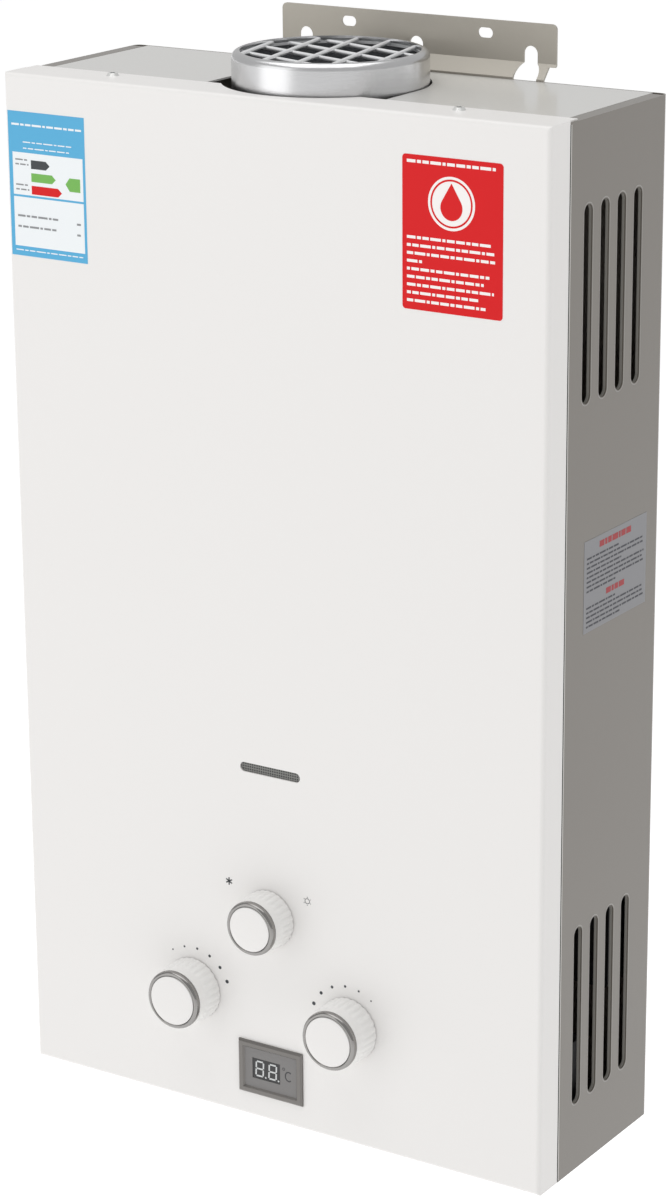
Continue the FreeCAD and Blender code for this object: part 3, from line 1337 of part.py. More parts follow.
def all_parts():
    parts = {
        "back_shell": back_shell(),
        "top_plate": top_plate(),
        "bottom_plate": bottom_plate(),
        "wall_hanger": wall_hanger(),
        "hanger_rivets": hanger_rivets(),
        "front_cover": front_cover(),
        "cover_screws": cover_screws(),
        "window_mesh": window_mesh(),
        "flue_collar": flue_collar(),
        "flue_grille": flue_grille(),
        "fume_hood": fume_hood(),
        "exchanger_jacket": exchanger_jacket(),
        "exchanger_fins": exchanger_fins(),
        "exchanger_coil": exchanger_coil(),
        "burner_frame": burner_frame(),
        "burner_bars": burner_bars(),
        "gas_manifold": gas_manifold(),
        "gas_nozzles": gas_nozzles(),
        "ignition_electrode": electrode(electrode_xs()[0]),
        "flame_sensor": electrode(electrode_xs()[1]),
        "overheat_switch": overheat_switch(),
        "gas_valve_body": gas_valve_body(),
        "gas_valve_cap": gas_valve_cap(),
        "gas_seat_spring": gas_seat_spring(),
        "solenoid": solenoid(),
        "diaphragm_cover": diaphragm_cover(),
        "diaphragm": diaphragm(),
        "water_valve_body": water_valve_body(),
        "season_valve_body": season_valve_body(),
        "push_rod": push_rod(),
        "microswitch": microswitch(),
        "switch_lever": switch_lever(),
        "cold_inlet": fitting(COLD_X, GAS_BOTTOM + 2),
        "gas_inlet": fitting(GAS_IN_X, GAS_BOTTOM),
        "hot_outlet": fitting(HOT_X, HOT_TOP),
        "lock_nuts": lock_nuts(),
        "cold_pipe": cold_pipe(),
        "hot_pipe": hot_pipe(),
        "gas_pipe": gas_pipe(),
        "manifold_pipe": manifold_pipe(),
        "igniter_box": igniter_box(),
        "battery_box": battery_box(),
        "battery_door": battery_door(),
        "battery_cells": battery_cells(),
    }
    names = ("display_bezel", "display_face", "display_glass", "display_module")
    parts.update(zip(names, display_parts()))
    knobs = {
        "gas": (GAS_X, KNOB_Z, KNOB_RADIUS, KNOB_BASE_RADIUS, KNOB_HEIGHT, VALVE_FRONT_Y + 7),
        "water": (WATER_X, KNOB_Z, KNOB_RADIUS, KNOB_BASE_RADIUS, KNOB_HEIGHT, VALVE_FRONT_Y + 7),
        "season": (
            PANEL_X, SEASON_Z, SEASON_RADIUS, SEASON_BASE_RADIUS, SEASON_HEIGHT, VALVE_FRONT_Y + 7,
        ),
    }
    for name, sizes in knobs.items():
        pieces = ("_knob_body", "_knob_ring", "_knob_cap", "_spindle")
        parts.update(zip([name + piece for piece in pieces], knob(*sizes)))
    return parts


def save(parts):
    os.makedirs("parts", exist_ok=True)
    for name, shape in parts.items():
        solids = shape.Solids
        placed = Part.makeCompound(solids) if len(solids) > 1 else solids[0]
        placed.translate(ORIGIN * -1)
        placed.exportStep("parts/" + name + ".step")
        print(name, len(solids), round(placed.Volume), placed.isValid())


save(all_parts())
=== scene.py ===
import bpy
import math
from mathutils import Matrix, Vector


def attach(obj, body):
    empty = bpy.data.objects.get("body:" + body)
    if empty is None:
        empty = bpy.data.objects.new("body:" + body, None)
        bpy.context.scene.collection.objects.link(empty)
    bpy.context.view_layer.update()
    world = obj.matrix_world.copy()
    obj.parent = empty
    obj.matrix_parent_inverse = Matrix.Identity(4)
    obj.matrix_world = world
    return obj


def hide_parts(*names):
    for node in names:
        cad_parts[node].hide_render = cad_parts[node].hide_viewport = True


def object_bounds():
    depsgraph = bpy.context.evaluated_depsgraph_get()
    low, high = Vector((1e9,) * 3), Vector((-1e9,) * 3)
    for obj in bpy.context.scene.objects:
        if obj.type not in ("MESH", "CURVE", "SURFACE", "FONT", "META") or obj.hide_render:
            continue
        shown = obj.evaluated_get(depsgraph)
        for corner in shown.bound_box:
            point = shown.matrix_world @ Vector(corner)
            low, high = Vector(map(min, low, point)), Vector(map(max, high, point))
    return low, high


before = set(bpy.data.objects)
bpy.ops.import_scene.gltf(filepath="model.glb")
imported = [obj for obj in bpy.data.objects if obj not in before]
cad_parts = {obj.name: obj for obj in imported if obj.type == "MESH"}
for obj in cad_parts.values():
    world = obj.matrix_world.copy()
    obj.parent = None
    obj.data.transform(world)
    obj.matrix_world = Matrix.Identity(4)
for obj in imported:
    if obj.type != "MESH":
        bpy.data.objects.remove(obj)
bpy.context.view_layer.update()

# Lengths in millimetres, in the part's own axes: X right, Y towards the wall, Z up.
MM = 0.001
HEATER = "heater"

# Heights in the source are from the casing's bottom, and the origin is this far above it.
ORIGIN_Z = 605.0

CASE_HALF_WIDTH = 172.5
CASE_HEIGHT = 590.0
FRONT_Y = -133.0

COVER_RETURN = 20.0
# Seam strips: a dark strip of painted shade in the gap at the cover's side returns, and a pale strip of
# painted highlight on the casing's edge beside it.
SEAM_FOOT = 1.0
SEAM_HEAD = 588.0
SEAM_WIDTH = 0.7
SEAM_OVERLAP = 0.1
EDGE_HIGHLIGHT_WIDTH = 1.0
SEAM_STRIP_DEPTH = 0.05

FLUE_X = -1.0
FLUE_Y = -67.0
COLLAR_TOP = 607.0
COLLAR_LENGTH = 47.0
COLLAR_RADIUS = 53.5
COLLAR_WALL = 1.2
COLLAR_ROLL = 4.0
COLLAR_LIP = 0.6

WIRE_REACH = 49.6
WIRE_RADIUS = 1.25
WIRE_PITCH = 20.0
WIRE_SIDES = 10
WIRE_EDGE_GAP = 4.0
# Heading in degrees, sideways offset and height over the collar's rim of each set of wires.
WIRE_SETS = ((102.0, 3.5, -2.0), (-18.0, 10.0, -3.2))
BAND_RADII = (48.4, 52.2)
BAND_HEIGHTS = (603.0, 604.4)

VENT_HEIGHTS = (492.0, 93.0)
VENT_COUNT = 4
VENT_FIRST_Y = -39.6
VENT_PITCH = 17.8
VENT_RADIUS = 4.5
VENT_REACH = 48.25
VENT_FLANGE = 2.2
VENT_TURNS = 14
# Outward and lift of the rim's section, from its outer foot over the crest and down the slot.
VENT_SECTION = (
    (1.0, -0.3), (1.0, 0.05), (0.7, 0.08), (0.4, 0.0), (0.15, -0.25), (0.0, -0.8),
    (-0.25, -VENT_FLANGE), (0.25, -VENT_FLANGE), (0.3, -0.6),
)

KNOB_RIBS = 28
RIB_STEPS = 8
KNOB_RING = 17.3
SEASON_RING = 15.8
KNOB_DEPTH = 22.0
SEASON_DEPTH = 20.0
BODY_MARGIN = 1.3
SEASON_BODY_MARGIN = 1.1
RIB_MIDDLE = 0.55
RING_REAR = 3.6
RING_BORE = 2.55
CAP_GAP = 2.6
CAP_DOME = 0.5
CAP_REAR = 1.4
CAP_STEPS = 6
CENTRE_RADIUS = 0.02

SCREW_X = (-113.0, 107.0)
SCREW_Y = FRONT_Y + 20.5
SCREW_LIFT = 1.6
SCREW_SLOT_REACH = 1.7
SCREW_SLOT_HALF = 0.35
SCREW_SLOT_DEPTH = 0.03

SCALE_DOTS = 6
SMALL_DOT = 0.5
LARGE_DOT = 1.15
# Side, first and last angle in degrees, and first and last dot of each scale.
DIAL_SCALES = (
    (-1, 124.5, 21.6, SMALL_DOT, LARGE_DOT),
    (1, 157.0, 53.5, LARGE_DOT, SMALL_DOT),
)

STAR_PLACE = (-30.9, 142.8)
STAR_REACH = 2.3
STAR_WIDTH = 0.8
SUN_PLACE = (22.1, 142.0)
SUN_RADIUS = 1.7
SUN_RAYS = (2.1, 2.7)
SUN_WIDTH = 0.35

DISPLAY_RECESS = 2.0
FACE_THICKNESS = 1.2
GLASS_THICKNESS = 0.3
FACE_LEVEL = FACE_THICKNESS - DISPLAY_RECESS
GLASS_LEVEL = FACE_LEVEL + GLASS_THICKNESS
DIGIT_X = (-14.1, -5.2)
DIGIT_Z = 31.3
DIGIT_SIZE = (4.9, 8.9)
DIGIT_SLANT = 0.4
DIGIT_STROKE = 0.95
DIGIT_INSET = 0.4
POINT_X = (-7.4, 1.4)
POINT_Z = 26.7
POINT_RADIUS = 0.55
DEGREE_PLACE = (5.2, 35.4)
DEGREE_RADIUS = 0.9
CELSIUS_PLACE = (8.6, 31.3)
CELSIUS_RADIUS = 2.9
CELSIUS_SQUEEZE = 0.8
CELSIUS_STROKE = 0.7
CELSIUS_STEPS = 9
CELSIUS_START = 50
CELSIUS_STEP = 29

# Left, right, bottom and top of each card.
LEFT_CARD = (-170.4, -118.1, 488.7, 569.3)
RIGHT_CARD = (85.4, 145.5, 488.0, 569.0)
CARD_CORNER = 2.0
# Front, rear, bottom and top of the card on the wall.
SIDE_CARD = (-92.4, -23.2, 313.0, 364.0)
DISC_RADIUS = 14.0
DISC_Z = 545.5
DROP_RADIUS = 6.6
DROP_SINK = 2.2
DROP_TIP = 10.6
RING_RADIUS = 12.6
RING_WIDTH = 1.0

# White fields of the left card: bottom and top.
LEFT_FIELDS = ((523.0, 546.6), (494.2, 521.8))
# Rows of broken lines: start and end from the card's left, top, pitch, height and each line's share.
LEFT_FIELD_ROWS = (
    (2.5, 50.3, 562.6, 3.0, 1.1, (1.0,)),
    (10.0, 43.3, 552.8, 3.4, 0.6, (1.0, 0.95)),
    (3.0, 49.3, 492.2, 3.0, 0.6, (1.0,)),
)
LEFT_LINE_ROWS = (
    (4.4, 13.5, 543.0, 2.6, 0.8, (0.9, 1.0)),
    (4.4, 13.5, 529.0, 2.6, 0.8, (0.9, 1.0)),
    (5.0, 34.3, 511.8, 6.0, 1.1, (0.95, 0.9)),
    (45.7, 48.7, 510.6, 6.0, 1.1, (0.9, 1.0)),
)
# Finish, bottom and reach of each arrow on the left card.
ARROWS = (("dark", 538.0, 25.4), ("green", 530.8, 29.4), ("red", 523.8, 33.4))
ARROW_START = 15.2
ARROW_HALF = 2.4
ARROW_POINT = 2.6
# Corners of the tag, from the card's right edge inwards and up.
TAG = ((-13.6, 531.6), (-10.8, 527.8), (-3.6, 527.8), (-3.6, 535.2), (-10.8, 535.2))
RIGHT_ROWS = (
    (2.8, 57.3, 566.4, 4.0, 1.6, (1.0,)),
    (2.8, 57.7, 526.8, 4.15, 1.5, (0.92, 0.98, 0.96, 0.2, 0.9, 0.84, 0.95, 0.78, 0.86)),
)
SIDE_LINE_ROWS = (
    (3.0, 66.2, 354.4, 2.6, 1.0, (0.55, 1.0, 0.98, 0.6, 1.0, 0.97, 0.99, 0.5)),
    (3.0, 66.2, 327.0, 2.6, 1.0, (0.5, 1.0, 0.98, 1.0, 0.6)),
)
SIDE_HEAD_ROWS = (
    (16.6, 52.6, 360.8, 4.0, 3.4, (1.0,)),
    (24.6, 44.6, 332.6, 4.0, 3.2, (1.0,)),
)
WORD_LENGTHS = (5.2, 2.4, 3.8, 6.4, 1.8, 4.6)
WORD_GAP = 0.9

FLOOR_HALF = 40.0
FLOOR_GLOW = 0.5
SENSOR_WIDTH = 36.0

PANEL_X = -4.0
KNOB_Z = 71.0
SEASON_Z = 126.0
KNOB_SPREAD = 53.0
DOT_CIRCLE = 25.2
PRINT_DEPTH = 0.06
CARD_DEPTH = 0.12

FLOOR_DROP = 0.5

CAMERA_PLACE = Vector((1.0241, -1.6399, 0.2860))
CAMERA_TARGET = Vector((0.00695, -0.0780, -0.30392))
CAMERA_ROLL = -0.4441
CAMERA_LENS = 104.846


def point(x, y, z):
    """A place in millimetres above the casing's bottom, as metres from the origin."""
    return Vector((x * MM, y * MM, (z - ORIGIN_Z) * MM))


def paint(name, colour, roughness, metallic=0.0, coat=0.0, specular=0.5):
    """A plain surface."""
    made = bpy.data.materials.new(name)
    made.use_nodes = True
    shader = made.node_tree.nodes["Principled BSDF"]
    shader.inputs["Base Color"].default_value = (*linear(colour), 1.0)
    shader.inputs["Roughness"].default_value = roughness
    shader.inputs["Metallic"].default_value = metallic
    shader.inputs["Coat Weight"].default_value = coat
    shader.inputs["Coat Roughness"].default_value = 0.12
    shader.inputs["Specular IOR Level"].default_value = specular
    return made


def linear(colour):
    """Turns a screen colour of 0 to 255 into the shader's values."""
    out = []
    for channel in colour:
        c = channel / 255.0
        out.append(c / 12.92 if c <= 0.04045 else ((c + 0.055) / 1.055) ** 2.4)
    return tuple(out)


def add_grain(made, scale, strength, stretch=(1.0, 1.0, 1.0), distance=0.0002):
    """Fine relief on a surface, drawn out along an axis where it is brushed."""
    tree = made.node_tree
    coords = tree.nodes.new("ShaderNodeTexCoord")
    mapping = tree.nodes.new("ShaderNodeMapping")
    noise = tree.nodes.new("ShaderNodeTexNoise")
    bump = tree.nodes.new("ShaderNodeBump")
    mapping.inputs["Scale"].default_value = stretch
    noise.inputs["Scale"].default_value = scale
    noise.inputs["Detail"].default_value = 3.0
    bump.inputs["Strength"].default_value = strength
    bump.inputs["Distance"].default_value = distance
    tree.links.new(coords.outputs["Object"], mapping.inputs["Vector"])
    tree.links.new(mapping.outputs["Vector"], noise.inputs["Vector"])
    tree.links.new(noise.outputs["Fac"], bump.inputs["Height"])
    tree.links.new(bump.outputs["Normal"], tree.nodes["Principled BSDF"].inputs["Normal"])
    return made


def perforated(name, colour, hole_shade, pitch, radius):
    """A sheet with rows of small round holes, drawn on the surface; the holes are a dark colour, painted
    shade of the inside seen through them.
    """
    made = paint(name, colour, 0.5, 0.4)
    tree = made.node_tree
    coords = tree.nodes.new("ShaderNodeTexCoord")
    scaled = tree.nodes.new("ShaderNodeVectorMath")
    scaled.operation = "SCALE"
    scaled.inputs["Scale"].default_value = 1.0 / (pitch * MM)
    cell = tree.nodes.new("ShaderNodeVectorMath")
    cell.operation = "FRACTION"
    shifted = tree.nodes.new("ShaderNodeVectorMath")
    shifted.operation = "SUBTRACT"
    shifted.inputs[1].default_value = (0.5, 0.5, 0.5)
    flat = tree.nodes.new("ShaderNodeVectorMath")
    flat.operation = "MULTIPLY"
    flat.inputs[1].default_value = (1.0, 0.0, 1.0)
    length = tree.nodes.new("ShaderNodeVectorMath")
    length.operation = "LENGTH"
    inside = tree.nodes.new("ShaderNodeMath")
    inside.operation = "LESS_THAN"
    inside.inputs[1].default_value = radius / pitch
    mix = tree.nodes.new("ShaderNodeMix")
    mix.data_type = "RGBA"
    mix.inputs[6].default_value = (*linear(colour), 1.0)
    mix.inputs[7].default_value = (*linear(hole_shade), 1.0)
    links = tree.links
    links.new(coords.outputs["Object"], scaled.inputs[0])
    links.new(scaled.outputs["Vector"], cell.inputs[0])
    links.new(cell.outputs["Vector"], shifted.inputs[0])
    links.new(shifted.outputs["Vector"], flat.inputs[0])
    links.new(flat.outputs["Vector"], length.inputs[0])
    links.new(length.outputs["Value"], inside.inputs[0])
    links.new(inside.outputs["Value"], mix.inputs["Factor"])
    links.new(mix.outputs[2], tree.nodes["Principled BSDF"].inputs["Base Color"])
    return made


def make_materials():
    """Every finish, by name."""
    grainy = 900.0
    return {
        "cover": add_grain(paint("cover_paint", (233, 231, 229), 0.42, 0.0, 0.15), grainy, 0.03),
        "case": add_grain(paint("case_paint", (111, 105, 97), 0.30, 0.0, 0.35), grainy, 0.05),
        # The vent rims are the casing's own painted sheet; their lighter colour is a painted highlight
        # on the rounded rims.
        "rim": paint("vent_rim", (140, 137, 131), 0.28, 0.0, 0.35),
        # The top plate's finish is the casing's own paint made lighter: painted reflection of the bright
        # surroundings on the top face.
        "top": add_grain(paint("top_paint_painted_light", (208, 207, 204), 0.26, 0.0, 0.4), grainy, 0.04),
        "hanger": add_grain(paint("hanger_zinc", (178, 173, 163), 0.42, 0.35), 500.0, 0.05),
        "collar": add_grain(
            paint("collar_sheet", (212, 212, 213), 0.26, 1.0), 300.0, 0.15, (1.0, 1.0, 12.0),
        ),
        "grille": paint("grille_wire", (240, 241, 242), 0.35, 0.5),
        "hood": paint("hood_inside", (150, 154, 160), 0.45, 0.6),
        "screw": paint("screw_bright", (226, 226, 224), 0.3, 0.5),
        # The next two finishes paint the seam: a dark painted shade in the gap at the cover, and a pale
        # painted highlight along the casing's edge.
        "shade": paint("seam_shade", (30, 29, 28), 0.8, 0.0, 0.0, 0.1),
        "edge": paint("case_edge_painted_highlight", (186, 184, 179), 0.3, 0.0, 0.3),
        # The exchanger fins and jacket get a dark, dull grey.
        "exchanger_dark": paint("exchanger_dull", (42, 44, 48), 0.75, 0.2),
        "chrome": paint("chrome_trim", (150, 148, 146), 0.13, 1.0),
        "knob": paint("knob_plastic", (238, 237, 235), 0.35, 0.0, 0.2),
        "knob_disc": paint("knob_disc", (233, 231, 229), 0.38, 0.0, 0.1),
        "bezel": paint("bezel_plastic", (118, 115, 112), 0.28, 0.6),
        "face": paint("face_plastic", (124, 122, 121), 0.5, 0.2),
        "glass": paint("display_glass", (14, 15, 16), 0.12, 0.0, 0.3),
        "digit": paint("digit_print", (206, 208, 208), 0.5),
        "mark": paint("mark_print", (60, 60, 62), 0.6),
        # The window mesh's holes are drawn dark grey: painted shade of the inside seen through them.
        "mesh": perforated("window_mesh_sheet", (128, 128, 125), (48, 48, 48), 1.5, 0.52),
        "copper": paint("copper_tube", (160, 96, 62), 0.38, 1.0),
        "brass": paint("brass_bare", (178, 148, 92), 0.32, 1.0),
        "cast": paint("cast_metal", (168, 168, 170), 0.5, 0.9),
        "steel": paint("steel_sheet", (150, 150, 150), 0.4, 1.0),
        "black": paint("black_plastic", (26, 26, 27), 0.5),
        "rubber": paint("rubber_black", (22, 22, 22), 0.8),
        "ceramic": paint("ceramic_white", (225, 222, 214), 0.25, 0.0, 0.4),
        "cell": paint("cell_sleeve", (70, 110, 150), 0.3),
        "card": paint("card_white", (236, 240, 242), 0.45),
        "card_grey": paint("card_grey", (136, 136, 139), 0.45),
        "blue": paint("print_blue", (78, 170, 214), 0.45),
        "green": paint("print_green", (112, 178, 78), 0.5),
        "red": paint("print_red", (214, 6, 14), 0.42, 0.0, 0.0, 0.25),
        "red_soft": paint("print_soft_red", (160, 44, 50), 0.5),
        "grey": paint("print_grey", (138, 140, 142), 0.5),
        "line": paint("print_line", (58, 58, 66), 0.5),
        # This dark finish is print on the front, and painted shade in the screws' recesses.
        "dark": paint("print_dark_and_recess_shade", (52, 56, 60), 0.5),
        "white": paint("print_white", (244, 240, 238), 0.5),
    }


FINISH = make_materials()
NODE_FINISH = {
    "cover": ("front_cover",),
    "case": ("back_shell", "bottom_plate"),
    "top": ("top_plate",),
    "screw": ("cover_screws",),
    "hood": ("fume_hood",),
    "hanger": ("wall_hanger", "hanger_rivets"),
    "grille": ("flue_grille",),
    "exchanger_dark": ("exchanger_fins", "exchanger_jacket"),
    "steel": ("burner_frame", "burner_bars", "gas_seat_spring", "switch_lever"),
    "copper": ("exchanger_coil", "cold_pipe", "hot_pipe", "gas_pipe", "manifold_pipe"),
    "brass": (
        "gas_nozzles", "diaphragm_cover", "water_valve_body", "push_rod", "cold_inlet", "gas_inlet",
        "hot_outlet", "lock_nuts", "gas_spindle", "water_spindle", "season_spindle",
    ),
    "cast": ("gas_manifold", "gas_valve_body", "gas_valve_cap", "season_valve_body", "solenoid"),
    "black": (
        "display_module", "overheat_switch", "microswitch", "igniter_box", "battery_box",
        "battery_door",
    ),
    "rubber": ("diaphragm",),
    "ceramic": ("ignition_electrode", "flame_sensor"),
    "cell": ("battery_cells",),
    "mesh": ("window_mesh",),
    "bezel": ("display_bezel",),
    "face": ("display_face",),
    "glass": ("display_glass",),
    "chrome": ("gas_knob_ring", "water_knob_ring", "season_knob_ring"),
    "knob": ("gas_knob_body", "water_knob_body", "season_knob_body"),
    "knob_disc": ("gas_knob_cap", "water_knob_cap", "season_knob_cap"),
}


def dress_nodes():
    for finish, nodes in NODE_FINISH.items():
        for node in nodes:
            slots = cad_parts[node].data.materials
            slots.clear()
            slots.append(FINISH[finish])


def piece(name, points, faces, finish, body=HEATER, smooth=False):
    """A mesh in metres that rides on a body."""
    mesh = bpy.data.meshes.new(name)
    mesh.from_pydata([tuple(p) for p in points], [], faces)
    mesh.update()
    mesh.polygons.foreach_set("use_smooth", [smooth] * len(mesh.polygons))
    mesh.materials.append(FINISH[finish])
    made = bpy.data.objects.new(name, mesh)
    bpy.context.scene.collection.objects.link(made)
    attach(made, body)
    return made


class Flat:
    """Flat shapes gathered into one mesh, each a thin prism on a face of the casing: print, and strips
    of painted shade and painted highlight.
    """

    def __init__(self, place):
        self.place = place
        self.points = []
        self.faces = []

    def outline(self, corners, depth, level=0.0):
        """A closed outline of (across, up) points."""
        start = len(self.points)
        count = len(corners)
        for lift in (level, level + depth):
            self.points += [self.place(u, v, lift) for u, v in corners]
        self.faces.append(tuple(start + k for k in reversed(range(count))))
        self.faces.append(tuple(start + count + k for k in range(count)))
        for k in range(count):
            after = (k + 1) % count
            self.faces.append((start + k, start + after, start + count + after, start + count + k))

    def bar(self, u0, u1, v0, v1, depth=PRINT_DEPTH, level=0.0):
        self.outline([(u0, v0), (u1, v0), (u1, v1), (u0, v1)], depth, level)

    def disc(self, u, v, radius, depth=PRINT_DEPTH, level=0.0, count=24):
        turn = 2 * math.pi / count
        corners = [
            (u + radius * math.cos(k * turn), v + radius * math.sin(k * turn)) for k in range(count)
        ]
        self.outline(corners, depth, level)

    def stroke(self, start, end, width, depth=PRINT_DEPTH, level=0.0):
        along = Vector(end) - Vector(start)
        side = Vector((-along.y, along.x)).normalized() * (width / 2)
        a, b = Vector(start), Vector(end)
        corners = [tuple(a - side), tuple(b - side), tuple(b + side), tuple(a + side)]
        self.outline(corners, depth, level)

    def loop(self, u, v, radius, width, depth=PRINT_DEPTH, level=0.0, count=32):
        turn = 2 * math.pi / count
        for k in range(count):
            a, b = k * turn, (k + 1) * turn
            inner = radius - width
            corners = [
                (u + inner * math.cos(a), v + inner * math.sin(a)),
                (u + radius * math.cos(a), v + radius * math.sin(a)),
                (u + radius * math.cos(b), v + radius * math.sin(b)),
                (u + inner * math.cos(b), v + inner * math.sin(b)),
            ]
            self.outline(corners, depth, level)

    def make(self, name, finish, body=HEATER):
        return piece(name, self.points, self.faces, finish, body)


def on_front(u, v, lift):
    return point(u, FRONT_Y - lift, v)


def on_side(u, v, lift):
    return point(CASE_HALF_WIDTH + lift, u, v)


def lathe(name, profile, centre, axis, finish, body=HEATER, count=96):
    """Turns a closed outline of (radius, along) millimetres round an axis."""
    points = []
    faces = []
    rows = len(profile)
    for k in range(count):
        angle = 2 * math.pi * k / count
        for radius, along in profile:
            a, b = radius * math.cos(angle) * MM, radius * math.sin(angle) * MM
            if axis == "Z":
                points.append(centre + Vector((a, b, along * MM)))
            else:
                points.append(centre + Vector((a, along * MM, -b)))
    for k in range(count):
        after = (k + 1) % count
        for j in range(rows):
            below = (j + 1) % rows
            faces.append((k * rows + j, after * rows + j, after * rows + below, k * rows + below))
    return piece(name, points, faces, finish, body, smooth=True)


def arc(centre, radius, start, end, count):
    """Points of an arc, from one angle to another in degrees."""
    out = []
    for k in range(count + 1):
        angle = math.radians(start + (end - start) * k / count)
        out.append((centre[0] + radius * math.cos(angle), centre[1] + radius * math.sin(angle)))
    return out


def add_collar():
    """The flue collar with its rolled rim."""
    outer, wall, roll, lip = COLLAR_RADIUS, COLLAR_WALL, COLLAR_ROLL, COLLAR_LIP
    top, bottom = COLLAR_TOP, COLLAR_TOP - COLLAR_LENGTH
    corner = (outer - roll, top - roll)
    profile = [(outer, bottom)]
    profile += arc(corner, roll, 0, 90, 8)
    profile += [(outer - roll - lip, top), (outer - roll - lip, top - wall)]
    profile += arc(corner, roll - wall, 90, 0, 6)
    profile += [(outer - wall, bottom)]
    made = lathe("collar_tube", profile, point(FLUE_X, FLUE_Y, 0.0), "Z", "collar")
    sharpen(made)
    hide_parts("flue_collar")


def add_grille():
    """Two crossed sets of round wires just under the collar's rim."""
    reach, wire, sides = WIRE_REACH, WIRE_RADIUS, WIRE_SIDES
    points = []
    faces = []
    for angle, offset, level in WIRE_SETS:
        turn = math.radians(angle)
        along = Vector((math.cos(turn), math.sin(turn), 0.0))
        across = Vector((-along.y, along.x, 0.0))
        for k in range(-3, 4):
            shift = k * WIRE_PITCH + offset
            if abs(shift) > reach - WIRE_EDGE_GAP:
                continue
            half = math.sqrt(reach * reach - shift * shift)
            start = len(points)
            for end in (-half, half):
                for j in range(sides):
                    spin = 2 * math.pi * j / sides
                    spot = along * end + across * (shift + wire * math.cos(spin))
                    lift = COLLAR_TOP + level + wire * math.sin(spin)
                    points.append(point(FLUE_X + spot.x, FLUE_Y + spot.y, lift))
            for j in range(sides):
                after = (j + 1) % sides
                faces.append((start + j, start + after, start + sides + after, start + sides + j))
            faces.append(tuple(start + j for j in reversed(range(sides))))
            faces.append(tuple(start + sides + j for j in range(sides)))
    inner, outer = BAND_RADII
    low, high = BAND_HEIGHTS
    profile = [(inner, low), (outer, low), (outer, high), (inner, high)]
    band = lathe("grille_band", profile, point(FLUE_X, FLUE_Y, 0.0), "Z", "grille")
    sharpen(band)
    made = piece("grille_wires", points, faces, "grille")
    sharpen(made, 50.0)
    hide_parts("flue_grille")


def sharpen(made, angle=35.0):
    """Smooth shading with crisp edges."""
    mesh = made.data
    limit = math.radians(angle)
    mesh.shade_smooth()
    mesh.set_sharp_from_angle(angle=limit)


def add_vent_rims():
    """The rounded edge of every vent slot, pressed inwards, in a lighter copy of the case paint as a
    painted highlight.
    """
    for name, side in (("right", 1), ("left", -1)):
        points = []
        faces = []
        for z in VENT_HEIGHTS:
            for k in range(VENT_COUNT):
                add_rim(points, faces, side, VENT_FIRST_Y - VENT_PITCH * k, z)
        made = piece("vent_rims_" + name, points, faces, "rim")
        sharpen(made, 50.0)


def add_rim(points, faces, side, y, z):
    """One closed band round a slot with round ends."""
    start = len(points)
    spots = []
    for end in (1, -1):
        for k in range(VENT_TURNS + 1):
            angle = math.pi * k / VENT_TURNS
            spots.append((math.cos(angle) * end, math.sin(angle) * end, VENT_REACH * end))
    rows = len(VENT_SECTION)
    for du, dv, shift in spots:
        for offset, lift in VENT_SECTION:
            r = VENT_RADIUS + offset
            points.append(point(side * (CASE_HALF_WIDTH + lift), y + du * r, z + shift + dv * r))
    count = len(spots)
    for k in range(count):
        after = (k + 1) % count
        for j in range(rows):
            below = (j + 1) % rows
            quad = (
                start + k * rows + j, start + after * rows + j,
                start + after * rows + below, start + k * rows + below,
            )
            faces.append(quad if side > 0 else quad[::-1])


def add_knob_bodies():
    """Soft ribs round the rear of each knob."""
    count = KNOB_RIBS * RIB_STEPS
    for name, x, z, ring, front in knob_places():
        base = ring + (BODY_MARGIN if name != "season" else SEASON_BODY_MARGIN)
        rear = FRONT_Y - 0.5
        middle = FRONT_Y + (front - FRONT_Y) * RIB_MIDDLE
        stations = (
            (rear, base, 0.35), (rear - 0.5, base, 0.6), (rear - 2.0, base - 0.1, 0.6),
            (middle + 1.5, base - 0.35, 0.6), (middle + 0.3, ring + 0.3, 0.3), (middle - 0.8, ring, 0.0),
            (front + RING_REAR + 0.05, ring, 0.0), (front + RING_REAR, ring - 3.0, 0.0),
            (front + 6.0, 0.5, 0.0),
        )
        points = []
        faces = []
        for y, radius, depth in stations:
            for k in range(count):
                angle = 2 * math.pi * k / count
                wave = (0.5 - 0.5 * math.cos(KNOB_RIBS * angle)) ** 2
                r = radius - depth * wave
                points.append(point(x + r * math.cos(angle), y, z + r * math.sin(angle)))
        for row in range(len(stations) - 1):
            for k in range(count):
                after = (k + 1) % count
                low, high = row * count, (row + 1) * count
                faces.append((low + k, high + k, high + after, low + after))
        faces.append(tuple(range(count)))
        last = (len(stations) - 1) * count
        faces.append(tuple(last + k for k in reversed(range(count))))
        made = piece(name + "_body", points, faces, "knob", name + "_knob")
        sharpen(made, 60.0)
        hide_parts(name + "_knob_body")


def add_knob_rings():
    """Rounded bright rings round the discs."""
    for name, x, z, ring, front in knob_places():
        rear, bore = front + RING_REAR, ring - RING_BORE
        profile = [(bore, rear), (ring, rear), (ring + 0.1, front + 2.6), (ring - 0.1, front + 1.4)]
        profile += [(ring - 0.55, front + 0.6), (ring - 1.2, front + 0.15), (ring - 1.9, front + 0.1)]
        profile += [(ring - 2.4, front + 0.45), (bore, front + 1.0)]
        made = lathe(
            name + "_ring", profile, point(x, 0.0, z), "Y", "chrome", name + "_knob",
        )
        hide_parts(name + "_knob_ring")


